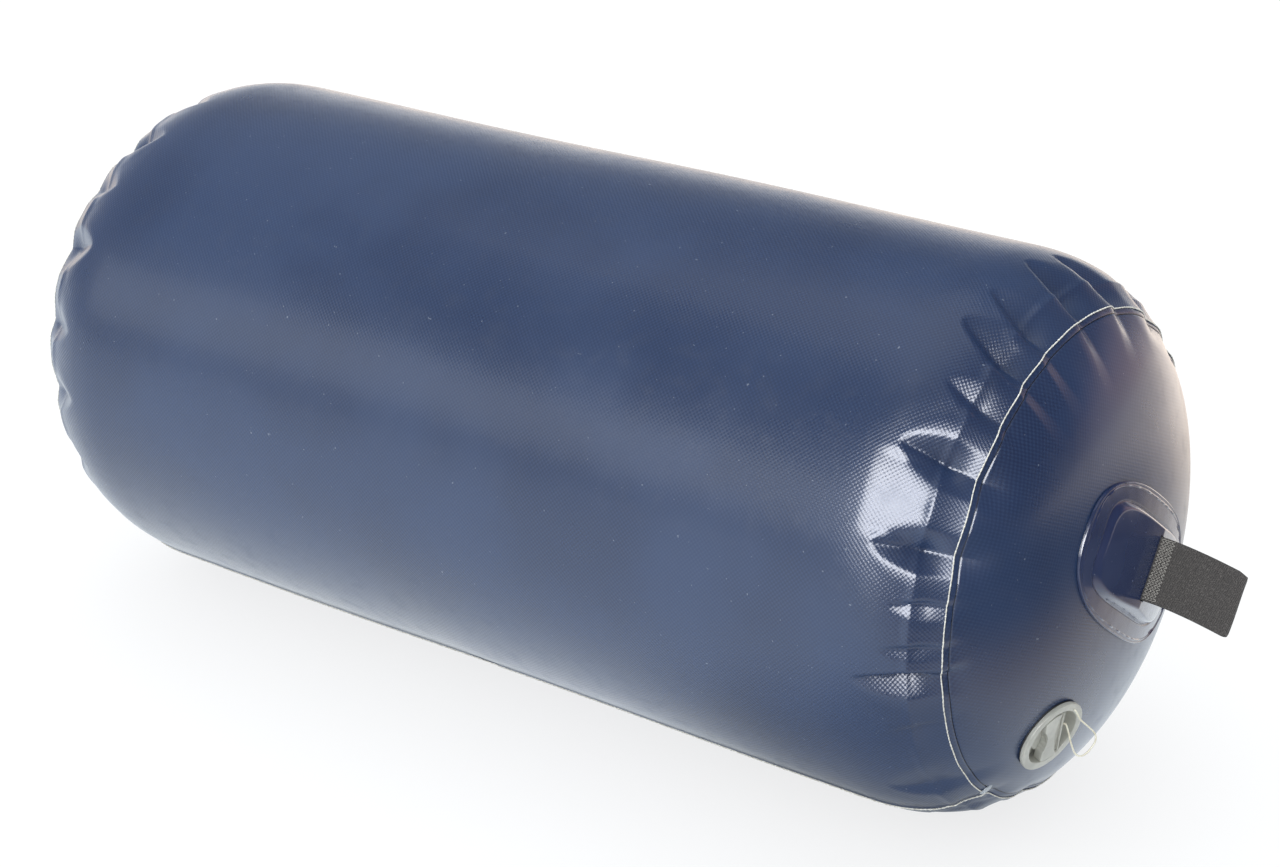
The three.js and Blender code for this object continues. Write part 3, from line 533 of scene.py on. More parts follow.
def coated_cloth(name, gloss, weave):
    """Vinyl-coated fabric: its threads show through as a fine checker, under a soft gloss."""
    made, tree, shader = material(name)
    cloth = axes(uv_place(tree, "Cloth"))
    threads = times(waves(cloth["X"], 2 * THREAD_PITCH), waves(cloth["Y"], 2 * THREAD_PITCH))
    where = place(tree)
    cloudy = noise(where, 7, 3)
    streaks = noise(where, 60, 4, 0.6)
    specks = band(noise(where, 320, 1), 0.775, 0.80, 0, 0.4)
    from_seam = axes(uv_place(tree, "Seam"))["X"]
    groove = maths("ABSOLUTE", plus(from_seam, CREASE_OFFSET))
    colour = mixed(band(cloudy, 0.35, 0.68), NAVY_DEEP, NAVY)
    colour = mixed(band(threads, -0.6, 0.9, 0, 0.5), colour, NAVY_PALE)
    colour = mixed(specks, colour, DUST)
    # Painted shade: the cloth is darkened along the groove in front of the seam strip.
    colour = mixed(band(groove, 0.0002, 0.0006, 0.75, 0), colour, GROOVE_PAINTED_SHADE)
    rough = plus(band(cloudy, 0.3, 0.7, gloss, gloss + 0.07), band(streaks, 0.45, 0.75, 0, 0.06))
    pressed = times(threads, band(from_seam, 0.021, 0.027, 0.8 * weave, weave))
    height = plus(pressed, times(streaks, 0.05))
    feed(shader, {
        "Base Color": colour,
        "Roughness": plus(rough, times(specks, 0.1)),
        "IOR": VINYL_IOR,
        "Normal": bumped(height, 1.0, 0.000075),
        "Coat Weight": 0.25,
        "Coat Roughness": 0.16,
        "Coat Normal": bumped(height, 1.0, 0.000014),
    })
    return made


def moulded_vinyl():
    """Smooth vinyl with a low ripple and a wet gloss."""
    made, tree, shader = material("moulded_vinyl")
    where = place(tree)
    cloudy = noise(where, 14, 3)
    colour = mixed(band(cloudy, 0.3, 0.7), linear(34, 47, 82), linear(46, 58, 92))
    specks = band(noise(where, 420, 1), 0.76, 0.80, 0, 0.4)
    feed(shader, {
        "Base Color": mixed(specks, colour, DUST),
        "Roughness": band(cloudy, 0.3, 0.7, 0.14, 0.22),
        "IOR": VINYL_IOR,
        "Normal": bumped(noise(where, 45, 2), 0.35, 0.0012),
        "Coat Weight": 0.5,
        "Coat Roughness": 0.08,
    })
    return made


def webbing():
    """Tightly woven strap: fine diagonal twill, with painted shade darkening the hollows between the yarns.
    """
    made, tree, shader = material("webbing_weave")
    cloth = axes(uv_place(tree, "Cloth"))
    twill = waves(plus(cloth["X"], cloth["Y"]), TWILL_PITCH)
    ribs, picks = waves(cloth["Y"], RIB_PITCH), waves(cloth["X"], PICK_PITCH)
    yarn = maths("MULTIPLY_ADD", ribs, 0.35, maths("MULTIPLY_ADD", picks, 0.25, twill))
    fuzz = noise(place(tree), 900, 2)
    # Painted shade: the colour darkens with the yarn's height, in the hollows between the yarns.
    colour = mixed(band(yarn, -1.1, 1.1), linear(24, 22, 22), linear(72, 66, 63))
    height = maths("MULTIPLY_ADD", fuzz, 0.6, yarn)
    feed(shader, {
        "Base Color": mixed(band(fuzz, 0.45, 0.8, 0, 0.5), colour, linear(122, 115, 110)),
        "Roughness": 0.82,
        "Normal": bumped(height, 0.9, 0.00022),
        "Sheen Weight": 0.25,
        "Sheen Roughness": 0.5,
    })
    return made


def plain(name, low, high, rough, scale, grain=600, depth=0.00006, extra=None):
    """A moulded or turned surface with a little variation in its colour and a fine grain."""
    made, tree, shader = material(name)
    where = place(tree)
    cloudy = noise(where, scale, 3)
    feed(shader, {
        "Base Color": mixed(band(cloudy, 0.3, 0.7), linear(*low), linear(*high)),
        "Roughness": band(cloudy, 0.3, 0.7, rough, rough + 0.08),
        "Normal": bumped(noise(where, grain, 3, 0.6), 0.5, depth),
        **(extra or {}),
    })
    return made


WALL_CLOTH = coated_cloth("wall_cloth", 0.27, 1.0)
END_CLOTH = coated_cloth("end_cloth", 0.24, 0.35)
VINYL = moulded_vinyl()
WEBBING = webbing()
STITCHING = plain("loop_stitching", (112, 108, 103), (162, 157, 150), 0.7, 800, 1500)
RAW_EDGE = plain("raw_thread", (214, 209, 196), (244, 241, 232), 0.7, 500, 1200)
SEALANT = plain("sealant", (150, 158, 168), (190, 196, 202), 0.25, 90)
TRANSLUCENT = {"Subsurface Weight": 0.15, "Subsurface Radius": (1, 1, 0.9), "Subsurface Scale": 0.003}
VALVE_PLASTIC = plain("valve_plastic", (178, 177, 168), (200, 199, 190), 0.36, 60, 500, 0.00005, TRANSLUCENT)
RUBBER = plain("seal_rubber", (30, 32, 34), (46, 48, 50), 0.7, 80)
STEEL = plain("spring_steel", (170, 172, 174), (200, 202, 204), 0.25, 200, 900, 0.00002, {"Metallic": 1.0})
TETHER_PLASTIC = plain("tether_plastic", (222, 214, 190), (240, 235, 216), 0.42, 200)


def finish_piece(obj, body, slot, *materials):
    obj.data.materials.clear()
    for item in materials:
        obj.data.materials.append(item)
    if body:
        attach(obj, body)


# Camera

def camera():
    data = bpy.data.cameras.new("camera")
    data.lens = LENS
    data.sensor_width = 36
    data.sensor_fit = "HORIZONTAL"
    made = placed("camera", data)
    made.location = CAMERA_PLACE
    made.rotation_euler = CAMERA_LOOK.to_track_quat("-Z", "Y").to_euler()
    bpy.context.scene.camera = made


camera()


# Cap tether

def cap_tether():
    """The cord that keeps the cap: fixed to the flange at one end and to the cap at the other."""
    route = smooth_route([VALVE @ Vector(point) for point in TETHER_ROUTE], 200)
    made = facing_out(tube("cap_tether_cord", route, TETHER_DIAMETER / 2, 12))
    finish_piece(made, None, "tether_plastic", TETHER_PLASTIC)
    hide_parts("cap_tether")
    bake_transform(made)


cap_tether()


# Air chamber

def dome_outline():
    """Distance along the cloth from the middle of the end, distance from the axis, and place along it."""
    turn = np.linspace(0, math.pi / 2, DOME_STEPS)
    sine = (np.sin(turn) / CHAMBER_RADIUS) ** DOME_POWER
    cosine = (np.maximum(np.cos(turn), 0) / DOME_DEPTH) ** DOME_POWER
    distance = (sine + cosine) ** (-1 / DOME_POWER)
    radius, along = distance * np.sin(turn), BARREL_HALF + distance * np.cos(turn)
    run = np.concatenate([[0], np.cumsum(np.hypot(np.diff(radius), np.diff(along)))])
    barrel = np.linspace(0.002, BARREL_HALF, BARREL_STEPS)
    radius = np.concatenate([radius, np.full(BARREL_STEPS, CHAMBER_RADIUS)])
    along = np.concatenate([along, BARREL_HALF - barrel])
    return np.concatenate([run, run[-1] + barrel]), radius, along


DOME_RUN, DOME_RADIUS, DOME_ALONG = dome_outline()
CLOTH_ARC = float(DOME_RUN[-1])


def cloth_at(arc):
    """Distance from the axis, place along it and outward direction of the cloth at distances along it."""
    radius, along = np.interp(arc, DOME_RUN, DOME_RADIUS), np.interp(arc, DOME_RUN, DOME_ALONG)
    step = 0.0015
    ahead, behind = np.minimum(arc + step, CLOTH_ARC), np.maximum(arc - step, 0)
    d_radius = np.interp(ahead, DOME_RUN, DOME_RADIUS) - np.interp(behind, DOME_RUN, DOME_RADIUS)
    d_along = np.interp(ahead, DOME_RUN, DOME_ALONG) - np.interp(behind, DOME_RUN, DOME_ALONG)
    size = np.hypot(d_radius, d_along)
    return radius, along, -d_along / size, d_radius / size


def smoothstep(value):
    value = np.clip(value, 0, 1)
    return value * value * (3 - 2 * value)


def gather_depth(gathers, arc, angle):
    """How far the gathers draw the cloth in: valleys with nearly flat walls and rounded shoulders."""
    total = np.zeros(np.broadcast(arc, angle).shape)
    past = (arc - SEAM_ARC) * 1000
    for tip, foot, half_width, depth, back, front, lean in gathers:
        back_share = np.clip(past / back, 0, 1)
        front_share = np.clip(-past / front, 0, 1)
        centre = foot + (tip - foot) * back_share
        opening = np.minimum(1.3 * (1 - back_share) ** 0.52, 1)
        held = 1 - HELD_AT_SEAM * smoothstep(1 - past / HELD_REACH)
        sloping = np.minimum(1.35 * (1 - back_share) ** 0.74, 1)
        strength = np.where(past > 0, sloping * held, (1 - HELD_AT_SEAM) * (1 - smoothstep(front_share)))
        width = np.where(past > 0, opening + 0.02, 1.02 + 0.9 * front_share)
        turn = (angle - centre + 180) % 360 - 180
        scaled = turn / (half_width * width)
        upper = scaled > lean
        off = np.where(upper, (scaled - lean) / (1 - lean), (lean - scaled) / (1 + lean))
        walls = 1.08 - np.sqrt(off**2 + 0.001)
        lip = np.where(upper, UPPER_LIP, LOWER_LIP)
        valley = (walls + np.sqrt(walls**2 + lip)) / 2
        bulge = SHOULDER_BULGE * np.exp(-(((off - 1.7) / 0.5) ** 2))
        total = total + depth / 1000 * strength * np.where(off < 3, valley - bulge, 0)
    return total


def flattened(side, arc, angle):
    """How far the cloth lies in where it is drawn flat between two gathers of the near end."""
    total = 0
    for low, high, start, end in FLATS if side > 0 else []:
        radius, along = cloth_at(arc)[:2]
        first, last = cloth_at(np.array(SEAM_ARC + start)), cloth_at(np.array(SEAM_ARC + end))
        slope = np.array([last[0] - first[0], last[1] - first[1]])
        slope = slope / np.hypot(*slope)
        sag = (radius - first[0]) * -slope[1] + (along - first[1]) * slope[0]
        sag = np.abs(sag) * smoothstep((arc - SEAM_ARC - start) / 0.001) * (arc < SEAM_ARC + end)
        inside = smoothstep((angle - low) / 2.5) * smoothstep((high - angle) / 2.5)
        total = total + sag * inside
    return total


def seam_lift(arc):
    """Height of the outer surface over the cloth's middle: lap, step behind it, strip in front and groove."""
    past = (arc - SEAM_ARC) * 1000
    lap_end = LAP_WIDTH * 1000
    share = np.clip(past / lap_end, 0, 1)
    lap = np.where((past >= 0) & (past <= lap_end), LAP_RISE - LAP_HOLLOW * 4 * share * (1 - share), 0)
    step = np.where(past > lap_end, LAP_RISE * (1 - smoothstep((past - lap_end) / LAP_FADE)), 0)
    strip = np.where((past < 0) & (past > -STRIP_WIDTH), STRIP_RISE, 0)
    groove = -GROOVE_DEPTH * np.exp(-((past + CREASE_OFFSET * 1000) / 0.5) ** 2)
    return (lap + step + strip + groove) / 1000


def swell(arc, angle, side):
    """Slow unevenness of the inflated cloth."""
    turn = np.radians(angle)
    wave = np.sin(3 * turn + 14 * arc * side + 1) + 0.6 * np.sin(5 * turn - 9 * arc + 2 * side)
    fade = smoothstep((arc - 0.12) / 0.15)
    return 0.0006 * wave * fade


def side_lap(angle):
    """The side wall's own lap, a step up at its raw edge that fades out past the lap."""
    past = (angle - SIDE_SEAM_ANGLE) % 360
    return np.where(past < SIDE_LAP, FABRIC * (1 - smoothstep(past - SIDE_LAP + 1)), 0)


def chamber_point(arc, angle, side, lift=0.0):
    """Points of the outer surface, at distances along the cloth and angles from straight up."""
    gathers = NEAR_GATHERS if side > 0 else FAR_GATHERS
    radius, along, out_radial, out_along = cloth_at(arc)
    over = seam_lift(arc) + swell(arc, angle, side) - gather_depth(gathers, arc, angle) + lift
    over = over - flattened(side, arc, angle)
    over = over + side_lap(angle) * smoothstep((arc - SEAM_ARC) / 0.004)
    radius = radius + out_radial * over
    along = side * (along + out_along * over)
    turn = np.radians(angle)
    height = np.maximum(radius * np.cos(turn), -AXIS_HEIGHT)
    return np.stack(np.broadcast_arrays(along, -radius * np.sin(turn), height + AXIS_HEIGHT), axis=-1)


def spaced(*stretches):
    """Stations from stretches of start, end and step, each without its end."""
    parts = [np.arange(start, end - step * 0.3, step) for start, end, step in stretches]
    return np.concatenate(parts)


def chamber_stations():
    """Distances along the cloth, from the middle of an end: close together at the seam and the gathers."""
    past_seam = CLOTH_ARC - SEAM_ARC + 0.005
    near = np.concatenate([
        spaced((0.008, 0.15, 0.009), (0.15, 0.195, 0.003), (0.195, 0.2, 0.001)),
        SEAM_ARC + np.array([-6, -5.6, -5.2, -4.9, -4.6, -3, -0.6, -0.1, 0.1, 0.8]) / 1000,
        SEAM_ARC + spaced((0.0022, 0.0245, 0.0017)),
        SEAM_ARC + np.array([24.6, 25.2, 26, 27, 28]) / 1000,
        SEAM_ARC + spaced((0.03, 0.068, 0.0019), (0.068, 0.1, 0.005), (0.1, past_seam, 0.024)),
    ])
    far = np.concatenate([
        spaced((0.012, 0.15, 0.018), (0.15, 0.2, 0.006)),
        SEAM_ARC + np.array([-5.8, -5.2, -4.6, -0.1, 0.1]) / 1000,
        SEAM_ARC + spaced((0.003, 0.0245, 0.004)),
        SEAM_ARC + np.array([25, 27]) / 1000,
        SEAM_ARC + spaced((0.03, 0.068, 0.0035), (0.068, 0.1, 0.01), (0.1, past_seam, 0.036)),
    ])
    return near, far


def chamber_angles():
    """Angles from straight up, closest together over the gathers that face the valve's side."""
    return spaced((-32, -4, 0.8), (-4, 106, 0.46), (106, 178, 0.8), (178, 328, 1.9))


def valve_hole():
    """A flat seat on the cloth, a hole in it for the shank, and room behind it for the lock nut."""
    hole, pocket = SHANK_RADIUS + GAP, NUT_RADIUS + POCKET_CLEARANCE
    seat = VALVE_FLANGE_RADIUS + SEAT_CLEARANCE
    made = lathe("valve_hole", [
        (0, -POCKET_DEPTH), (pocket, -POCKET_DEPTH), (pocket, -FABRIC), (hole, -FABRIC),
        (hole, 0), (seat, 0), (seat, RIM_TOP), (0, RIM_TOP),
    ], 96)
    made.data.transform(VALVE)
    return made


def chamber_skin():
    """The bag as one closed mesh, with the cloth's own coordinates for its weave."""
    near_arcs, far_arcs = chamber_stations()
    angles = chamber_angles()
    arcs = np.concatenate([near_arcs, far_arcs[::-1]])
    rows, columns = len(arcs), len(angles)
    near = chamber_point(near_arcs[:, None], angles[None, :], 1)
    far = chamber_point(far_arcs[::-1, None], angles[None, :], -1)
    verts = np.concatenate([near.reshape(-1, 3), far.reshape(-1, 3)])
    poles = chamber_point(np.zeros(1), np.zeros(1), 1)
    verts = np.vstack([verts, poles, poles * np.array([-1, 1, 1])])
    first, last = len(verts) - 2, len(verts) - 1
    ring = np.arange(columns)
    pairs = list(zip(ring, (ring + 1) % columns))
    base = (rows - 1) * columns
    fans = [(first, b, a) for a, b in pairs] + [(last, base + a, base + b) for a, b in pairs]
    made = new_object("chamber_skin", verts, [tuple(q) for q in grid_faces(rows, columns)] + fans)
    map_cloth(made, arcs, angles, len(near_arcs))
    facing_out(made)
    made.data.materials.append(WALL_CLOTH)
    made.data.materials.append(END_CLOTH)
    row = np.repeat(np.arange(rows - 1), columns)
    on_end = (arcs[row] + arcs[row + 1]) / 2 < SEAM_ARC
    index = np.concatenate([on_end, np.ones(2 * columns, bool)]).astype(int)
    made.data.polygons.foreach_set("material_index", index)
    cut(made, valve_hole())
    sharp_from(made, 50)
    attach(made, "fender")
    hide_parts("air_chamber")


def corner_verts(data):
    """The number of the vertex at each corner of each face."""
    found = np.empty(len(data.loops), int)
    data.loops.foreach_get("vertex_index", found)
    return found


def add_uv(data, name, u, v):
    layer = data.uv_layers.new(name=name)
    layer.data.foreach_set("uv", np.column_stack([u, v]).astype(np.float32).ravel())


def map_cloth(obj, arcs, angles, near_rows):
    """UV maps in metres: Cloth for the weave, and Seam for the distance along the cloth past the raw edge."""
    data = obj.data
    rows, columns = len(arcs), len(angles)
    corners = corner_verts(data)
    total = np.empty(len(data.polygons), int)
    data.polygons.foreach_get("loop_total", total)
    face = np.repeat(np.arange(len(total)), total)
    verts = np.empty(len(data.vertices) * 3)
    data.vertices.foreach_get("co", verts)
    verts = verts.reshape(-1, 3)
    is_pole = corners >= rows * columns
    row, column = np.minimum(corners // columns, rows - 1), corners % columns
    arc = np.where(is_pole, 0, arcs[row])
    wraps = np.isin(face, np.unique(face[(column == columns - 1) & ~is_pole])) & (column == 0)
    angle = np.where(wraps, angles[column] + 360, angles[column])
    on_wall = np.where(row < near_rows, CLOTH_ARC - arc, arc - CLOTH_ARC), np.radians(angle) * CHAMBER_RADIUS
    y, z = verts[corners, 1], verts[corners, 2]
    turned = math.radians(20)
    on_panel = y * math.cos(turned) + z * math.sin(turned), z * math.cos(turned) - y * math.sin(turned)
    on_end = (np.bincount(face, arc) / total)[face] < SEAM_ARC
    u, v = (np.where(on_end, panel, wall) for panel, wall in zip(on_panel, on_wall))
    add_uv(data, "Cloth", u, v)
    add_uv(data, "Seam", arc - SEAM_ARC, v)


def raw_edge(name, path, thickness, seed, closed):
    """A cut edge of the cloth, where the white threads stand out as a thin uneven rope."""
    draw = np.random.default_rng(seed)
    count, sides = len(path), 8
    turn = full_turn(sides)
    run = np.arange(count)
    twist = 0.22 * np.cos(2 * turn[None, :] + run[:, None] * 0.9)
    rough = 0.12 * draw.standard_normal((count, 1)) + 0.1 * draw.standard_normal((count, sides))
    made = tube(name, path, thickness, sides, closed, thickness * np.clip(1 + twist + rough, 0.45, 1.6))
    finish_piece(made, "fender", "chamber_fabric", RAW_EDGE)


def end_seam(name, side, seed):
    angle = np.linspace(0, 360, 2200, endpoint=False)
    path = chamber_point(np.full_like(angle, SEAM_ARC + 0.0001), angle, side, -0.0001)
    path[:, 0] += 0.0002 * np.sin(np.radians(angle) * 37) * side
    raw_edge(name, path, 0.00048, seed, True)


def side_seam():
    arcs = np.linspace(SEAM_ARC, CLOTH_ARC, 900)
    near = chamber_point(arcs, np.full_like(arcs, SIDE_SEAM_ANGLE), 1, 0.0003)
    far = chamber_point(arcs[::-1], np.full_like(arcs, SIDE_SEAM_ANGLE), -1, 0.0003)
    raw_edge("side_seam_edge", np.vstack([near, far[1:]]), 0.0005, 5, False)


def sealant_dab():
    """A dab of sealant where the side wall's seam runs into the end's."""
    shell = bmesh.new()
    bmesh.ops.create_icosphere(shell, subdivisions=4, radius=1)
    draw = np.random.default_rng(11)
    bumps = [(Vector(draw.standard_normal(3)).normalized(), draw.uniform(0.1, 0.3)) for _ in range(9)]
    for vert in shell.verts:
        vert.co *= 1 + sum(size * max(vert.co.normalized().dot(way), 0) ** 6 for way, size in bumps) - 0.15
    made = from_shell("sealant_dab", shell)
    shade_smooth(made.data)
    here, ahead, aside = (
        Vector(chamber_point(np.array(SEAM_ARC + arc), np.array(SIDE_SEAM_ANGLE + angle), 1))
        for arc, angle in ((-0.0035, -1.5), (-0.006, -1.5), (-0.0035, 0.5)))
    x, y = (ahead - here).normalized(), (aside - here).normalized()
    z = x.cross(y).normalized()
    z = z if z.x > 0 else -z
    made.data.transform(framed(x, y, z, here) @ Matrix.Diagonal((0.0055, 0.0045, 0.0014, 1)))
    finish_piece(made, "fender", "chamber_fabric", SEALANT)


chamber_skin()
end_seam("near_seam_edge", 1, 1)
end_seam("far_seam_edge", -1, 2)
side_seam()
sealant_dab()


# Anchor patches

OUT = np.array([1.0, 0, 0])
PATCH_LONG = np.array([0, math.cos(PATCH_TURN), -math.sin(PATCH_TURN)])
PATCH_WIDE = np.array([0, math.sin(PATCH_TURN), math.cos(PATCH_TURN)])
PATCH_MIDDLE = HALF_LENGTH * OUT + PATCH_OFF_AXIS * PATCH_WIDE


def soft_min(a, b, blend):
    near = np.maximum(blend - np.abs(a - b), 0) / blend
    return np.minimum(a, b) - near * near * blend / 4


def boss_height(long, spread, wall):
    fall = (RIDGE_HEIGHT - SHOULDER_HEIGHT) * (np.abs(long) / (BOSS_LENGTH / 2))
    missing = np.maximum(PATCH_WALL - wall, 0)
    height = soft_min(RIDGE_HEIGHT - fall, WALL_RISE * (1 - spread), SHOULDER_BLEND) - missing
    return np.maximum(height, 0)


def patch_outline(spread, turn):
    out = np.maximum(spread - 1, 0)
    half_long = (BOSS_LENGTH + (PATCH_FLANGE_LENGTH - BOSS_LENGTH) * out) / 2
    half_wide = (BOSS_WIDTH + (PATCH_FLANGE_WIDTH - BOSS_WIDTH) * out) / 2
    power = BOSS_POWER + (PATCH_FLANGE_POWER - BOSS_POWER) * out
    cosine = (np.abs(np.cos(turn)) / half_long) ** power
    sine = (np.abs(np.sin(turn)) / half_wide) ** power
    distance = np.minimum(spread, 1) * (cosine + sine) ** (-1 / power)
    return distance * np.cos(turn), distance * np.sin(turn)


def dome_x(radius):
    return np.interp(radius, DOME_RADIUS[:DOME_STEPS], DOME_ALONG[:DOME_STEPS])


def patch_rings():
    """Spread and wall of each ring, from the middle out over the flange and back under it.

    The third result is the number of rings above the flange's edge.
    """
    over = np.concatenate([
        np.linspace(0.002, 0.55, 14), np.linspace(0.58, 1.06, 34), np.linspace(1.1, 1.58, 10),
        np.linspace(1.6, 1.78, 15), np.linspace(1.8, 1.99, 16),
    ])
    wall = PATCH_WALL + BEAD_HEIGHT * 0.5 * np.exp(-(((over - 1.95) / 0.03) ** 2))
    wall = np.where(over < 1.5, wall - 0.0006 * np.exp(-(((over - 1.03) / 0.03) ** 2)), wall)
    under = np.concatenate([
        [2.0, 2.0], np.linspace(1.95, 0.95, 8), np.linspace(0.9, 0.55, 12), [0.4, 0.2, 0.002],
    ])
    under_wall = np.concatenate([[PATCH_WALL * 0.6], np.zeros(len(under) - 1)])
    return np.concatenate([over, under]), np.concatenate([wall, under_wall]), len(over)


def turned_to(side, points):
    """Points of the near end as they are, or half round for the far end, and both up from the axis."""
    return points * np.array([side, side, 1]) + np.array([0, 0, AXIS_HEIGHT])


def loop_slot(side):
    """The solid that makes room for the loop in the boss."""
    shell = bmesh.new()
    bmesh.ops.create_cube(shell, size=1)
    made = from_shell("slot", shell)
    room = EYE_GAP + 2 * WEBBING_PLY + 2 * GAP
    middle = PATCH_MIDDLE + (PATCH_WALL + LOOP_HEIGHT / 2) * OUT
    made.data.transform(Matrix.Diagonal((LOOP_HEIGHT, room, WEBBING_WIDTH + 2 * SLOT_END_CLEARANCE, 1)))
    made.data.transform(framed(OUT, PATCH_LONG, PATCH_WIDE, middle))
    made.data.transform(Matrix.Translation((0, 0, AXIS_HEIGHT)) @ Matrix.Diagonal((side, side, 1, 1)))
    return made


def anchor_patch(name, side, node_name):
    spread, wall, over_count = patch_rings()
    rings = len(spread)
    turn = full_turn(PATCH_SEGMENTS)[None, :]
    spread, wall = spread[:, None], wall[:, None]
    long, wide = patch_outline(spread, turn)
    lift = GAP + wall + boss_height(long, np.minimum(spread, 1), wall)
    uneven = np.sin(23 * turn + 2 * np.sin(5 * turn)) + 0.7 * np.sin(41 * turn + side)
    bead = BEAD_HEIGHT * (0.35 + smoothstep(uneven)) * np.exp(-(((spread - 1.78) / 0.035) ** 2))
    lift = lift + np.where(np.arange(rings)[:, None] < over_count, bead, 0)
    from_axis = wide + PATCH_OFF_AXIS
    along = dome_x(np.hypot(long, from_axis)) + lift
    verts = along[..., None] * OUT + long[..., None] * PATCH_LONG + from_axis[..., None] * PATCH_WIDE
    made = new_object(name, turned_to(side, verts.reshape(-1, 3)), capped_faces(rings, PATCH_SEGMENTS))
    cut(facing_out(made), loop_slot(side))
    sharp_from(made, 40)
    finish_piece(made, "fender", "patch_vinyl", VINYL)
    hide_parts(node_name)


anchor_patch("near_patch_moulding", 1, "near_anchor_patch")
anchor_patch("far_patch_moulding", -1, "far_anchor_patch")


# Webbing loops

def webbing_line():
    """Middle line of the strap's thickness, as place along the patch and height over the end."""
    half = (EYE_GAP + WEBBING_PLY) / 2
    eye = LOOP_HEIGHT - WEBBING_PLY / 2 - half
    ply = np.linspace(STRAIGHT_FROM, eye, 46)
    turning = np.linspace(0, math.pi, 14)[1:-1]
    standing = np.vstack([
        np.column_stack([np.full_like(ply, -half), ply]),
        np.column_stack([-half * np.cos(turning), eye + half * np.sin(turning)]),
        np.column_stack([np.full_like(ply, half), ply[::-1]]),
    ])
    bend = half + WEBBING_PLY
    up = np.array([[-LEG_REACH, LEG_FOOT], [-bend, LEG_TOP]])
    down = np.array([[bend, LEG_TOP], [LEG_REACH, LEG_FOOT]])
    return np.vstack([up, standing, down])


def strap_section(steps=20):
    """Closed section of the strap as place across its width, from -1 to 1, and place in its thickness."""
    wide = np.linspace(-1, 1, steps + 1)
    edge = np.where(np.abs(wide) > 0.999, 0.55, 1.0)
    top = np.column_stack([wide, edge])
    bottom = np.column_stack([wide[::-1], -edge])
    return np.vstack([top, bottom])


def hang(long, height, wide, side):
    """Points of the loop as it hangs down and twists a little, from their places on it standing straight."""
    out = np.clip((height - LOOP_ROOT) / (LOOP_HEIGHT - LOOP_ROOT), 0, 1)
    droop = LOOP_DROOP * out**DROOP_POWER
    share = wide / (WEBBING_WIDTH / 2)
    wave = 0.0011 * np.sin(2.4 * share + 3 * out) * out + 0.0009 * np.sin(math.pi * out) * share
    long = long + droop * math.sin(PATCH_TURN) + wave + wide * LOOP_TWIST * out**2
    wide = wide - droop * math.cos(PATCH_TURN)
    along, across, up = height[..., None] * OUT, long[..., None] * PATCH_LONG, wide[..., None] * PATCH_WIDE
    return turned_to(side, PATCH_MIDDLE + along + across + up)


def webbing_loop(name, side, node_name):
    line, section = webbing_line(), strap_section()
    heading = np.gradient(line, axis=0)
    heading /= np.linalg.norm(heading, axis=1)[:, None]
    normal = np.column_stack([-heading[:, 1], heading[:, 0]])
    run = run_along(line)
    wide, thick = section[:, 0][None, :], section[:, 1][None, :]
    end = np.clip((line[:, 1] - (LOOP_HEIGHT - CORNER_ROUND)) / CORNER_ROUND, 0, 1)[:, None]
    low_corner = LOW_CORNER * (1 - np.sqrt(np.maximum(1 - end**2, 0))) * (wide < -0.85)
    high_corner = HIGH_CORNER * end * (wide > 0.9)
    across = wide * WEBBING_WIDTH / 2 + low_corner - high_corner
    long = line[:, 0, None] + normal[:, 0, None] * thick * WEBBING_PLY / 2
    height = line[:, 1, None] + normal[:, 1, None] * thick * WEBBING_PLY / 2
    columns = len(section)
    verts = hang(long, height, across, side).reshape(-1, 3)
    made = facing_out(new_object(name, verts, capped_faces(len(line), columns)))
    corners = corner_verts(made.data)
    add_uv(made.data, "Cloth", run[corners // columns], across[corners // columns, corners % columns])
    sharp_from(made, 50)
    finish_piece(made, "fender", "loop_webbing", WEBBING)
    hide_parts(node_name)
    loop_stitches(name + "_stitches", side)


def loop_stitches(name, side):
    """Rows of zigzag stitching across both faces of the loop, just above the slot."""
    off_middle = EYE_GAP / 2 + WEBBING_PLY + 0.0003
    wide = np.linspace(-1, 1, STITCH_POINTS) * (WEBBING_WIDTH / 2 - 0.001)
    draw = np.random.default_rng(21)
    parts = []
    for face in (-1, 1):
        for row in range(STITCH_ROWS):
            foot = LOOP_ROOT + STITCH_FOOT + row * STITCH_SPACING
            uneven = 0.0002 * draw.standard_normal(STITCH_POINTS)
            height = foot + STITCH_RISE * (np.arange(STITCH_POINTS) % 2) + uneven
            points = hang(np.full(STITCH_POINTS, face * off_middle), height, wide, side)
            route = smooth_route(points, 4 * STITCH_POINTS)
            parts.append(facing_out(tube(name, route, STITCH_THREAD / 2, 6)))
    bpy.ops.object.select_all(action="DESELECT")
    for part in parts:
        part.select_set(True)
    bpy.context.view_layer.objects.active = parts[0]
    bpy.ops.object.join()
    parts[0].name = name
    finish_piece(parts[0], "fender", "loop_webbing", STITCHING)


webbing_loop("near_loop_strap", 1, "near_webbing_loop")
webbing_loop("far_loop_strap", -1, "far_webbing_loop")


# Valve

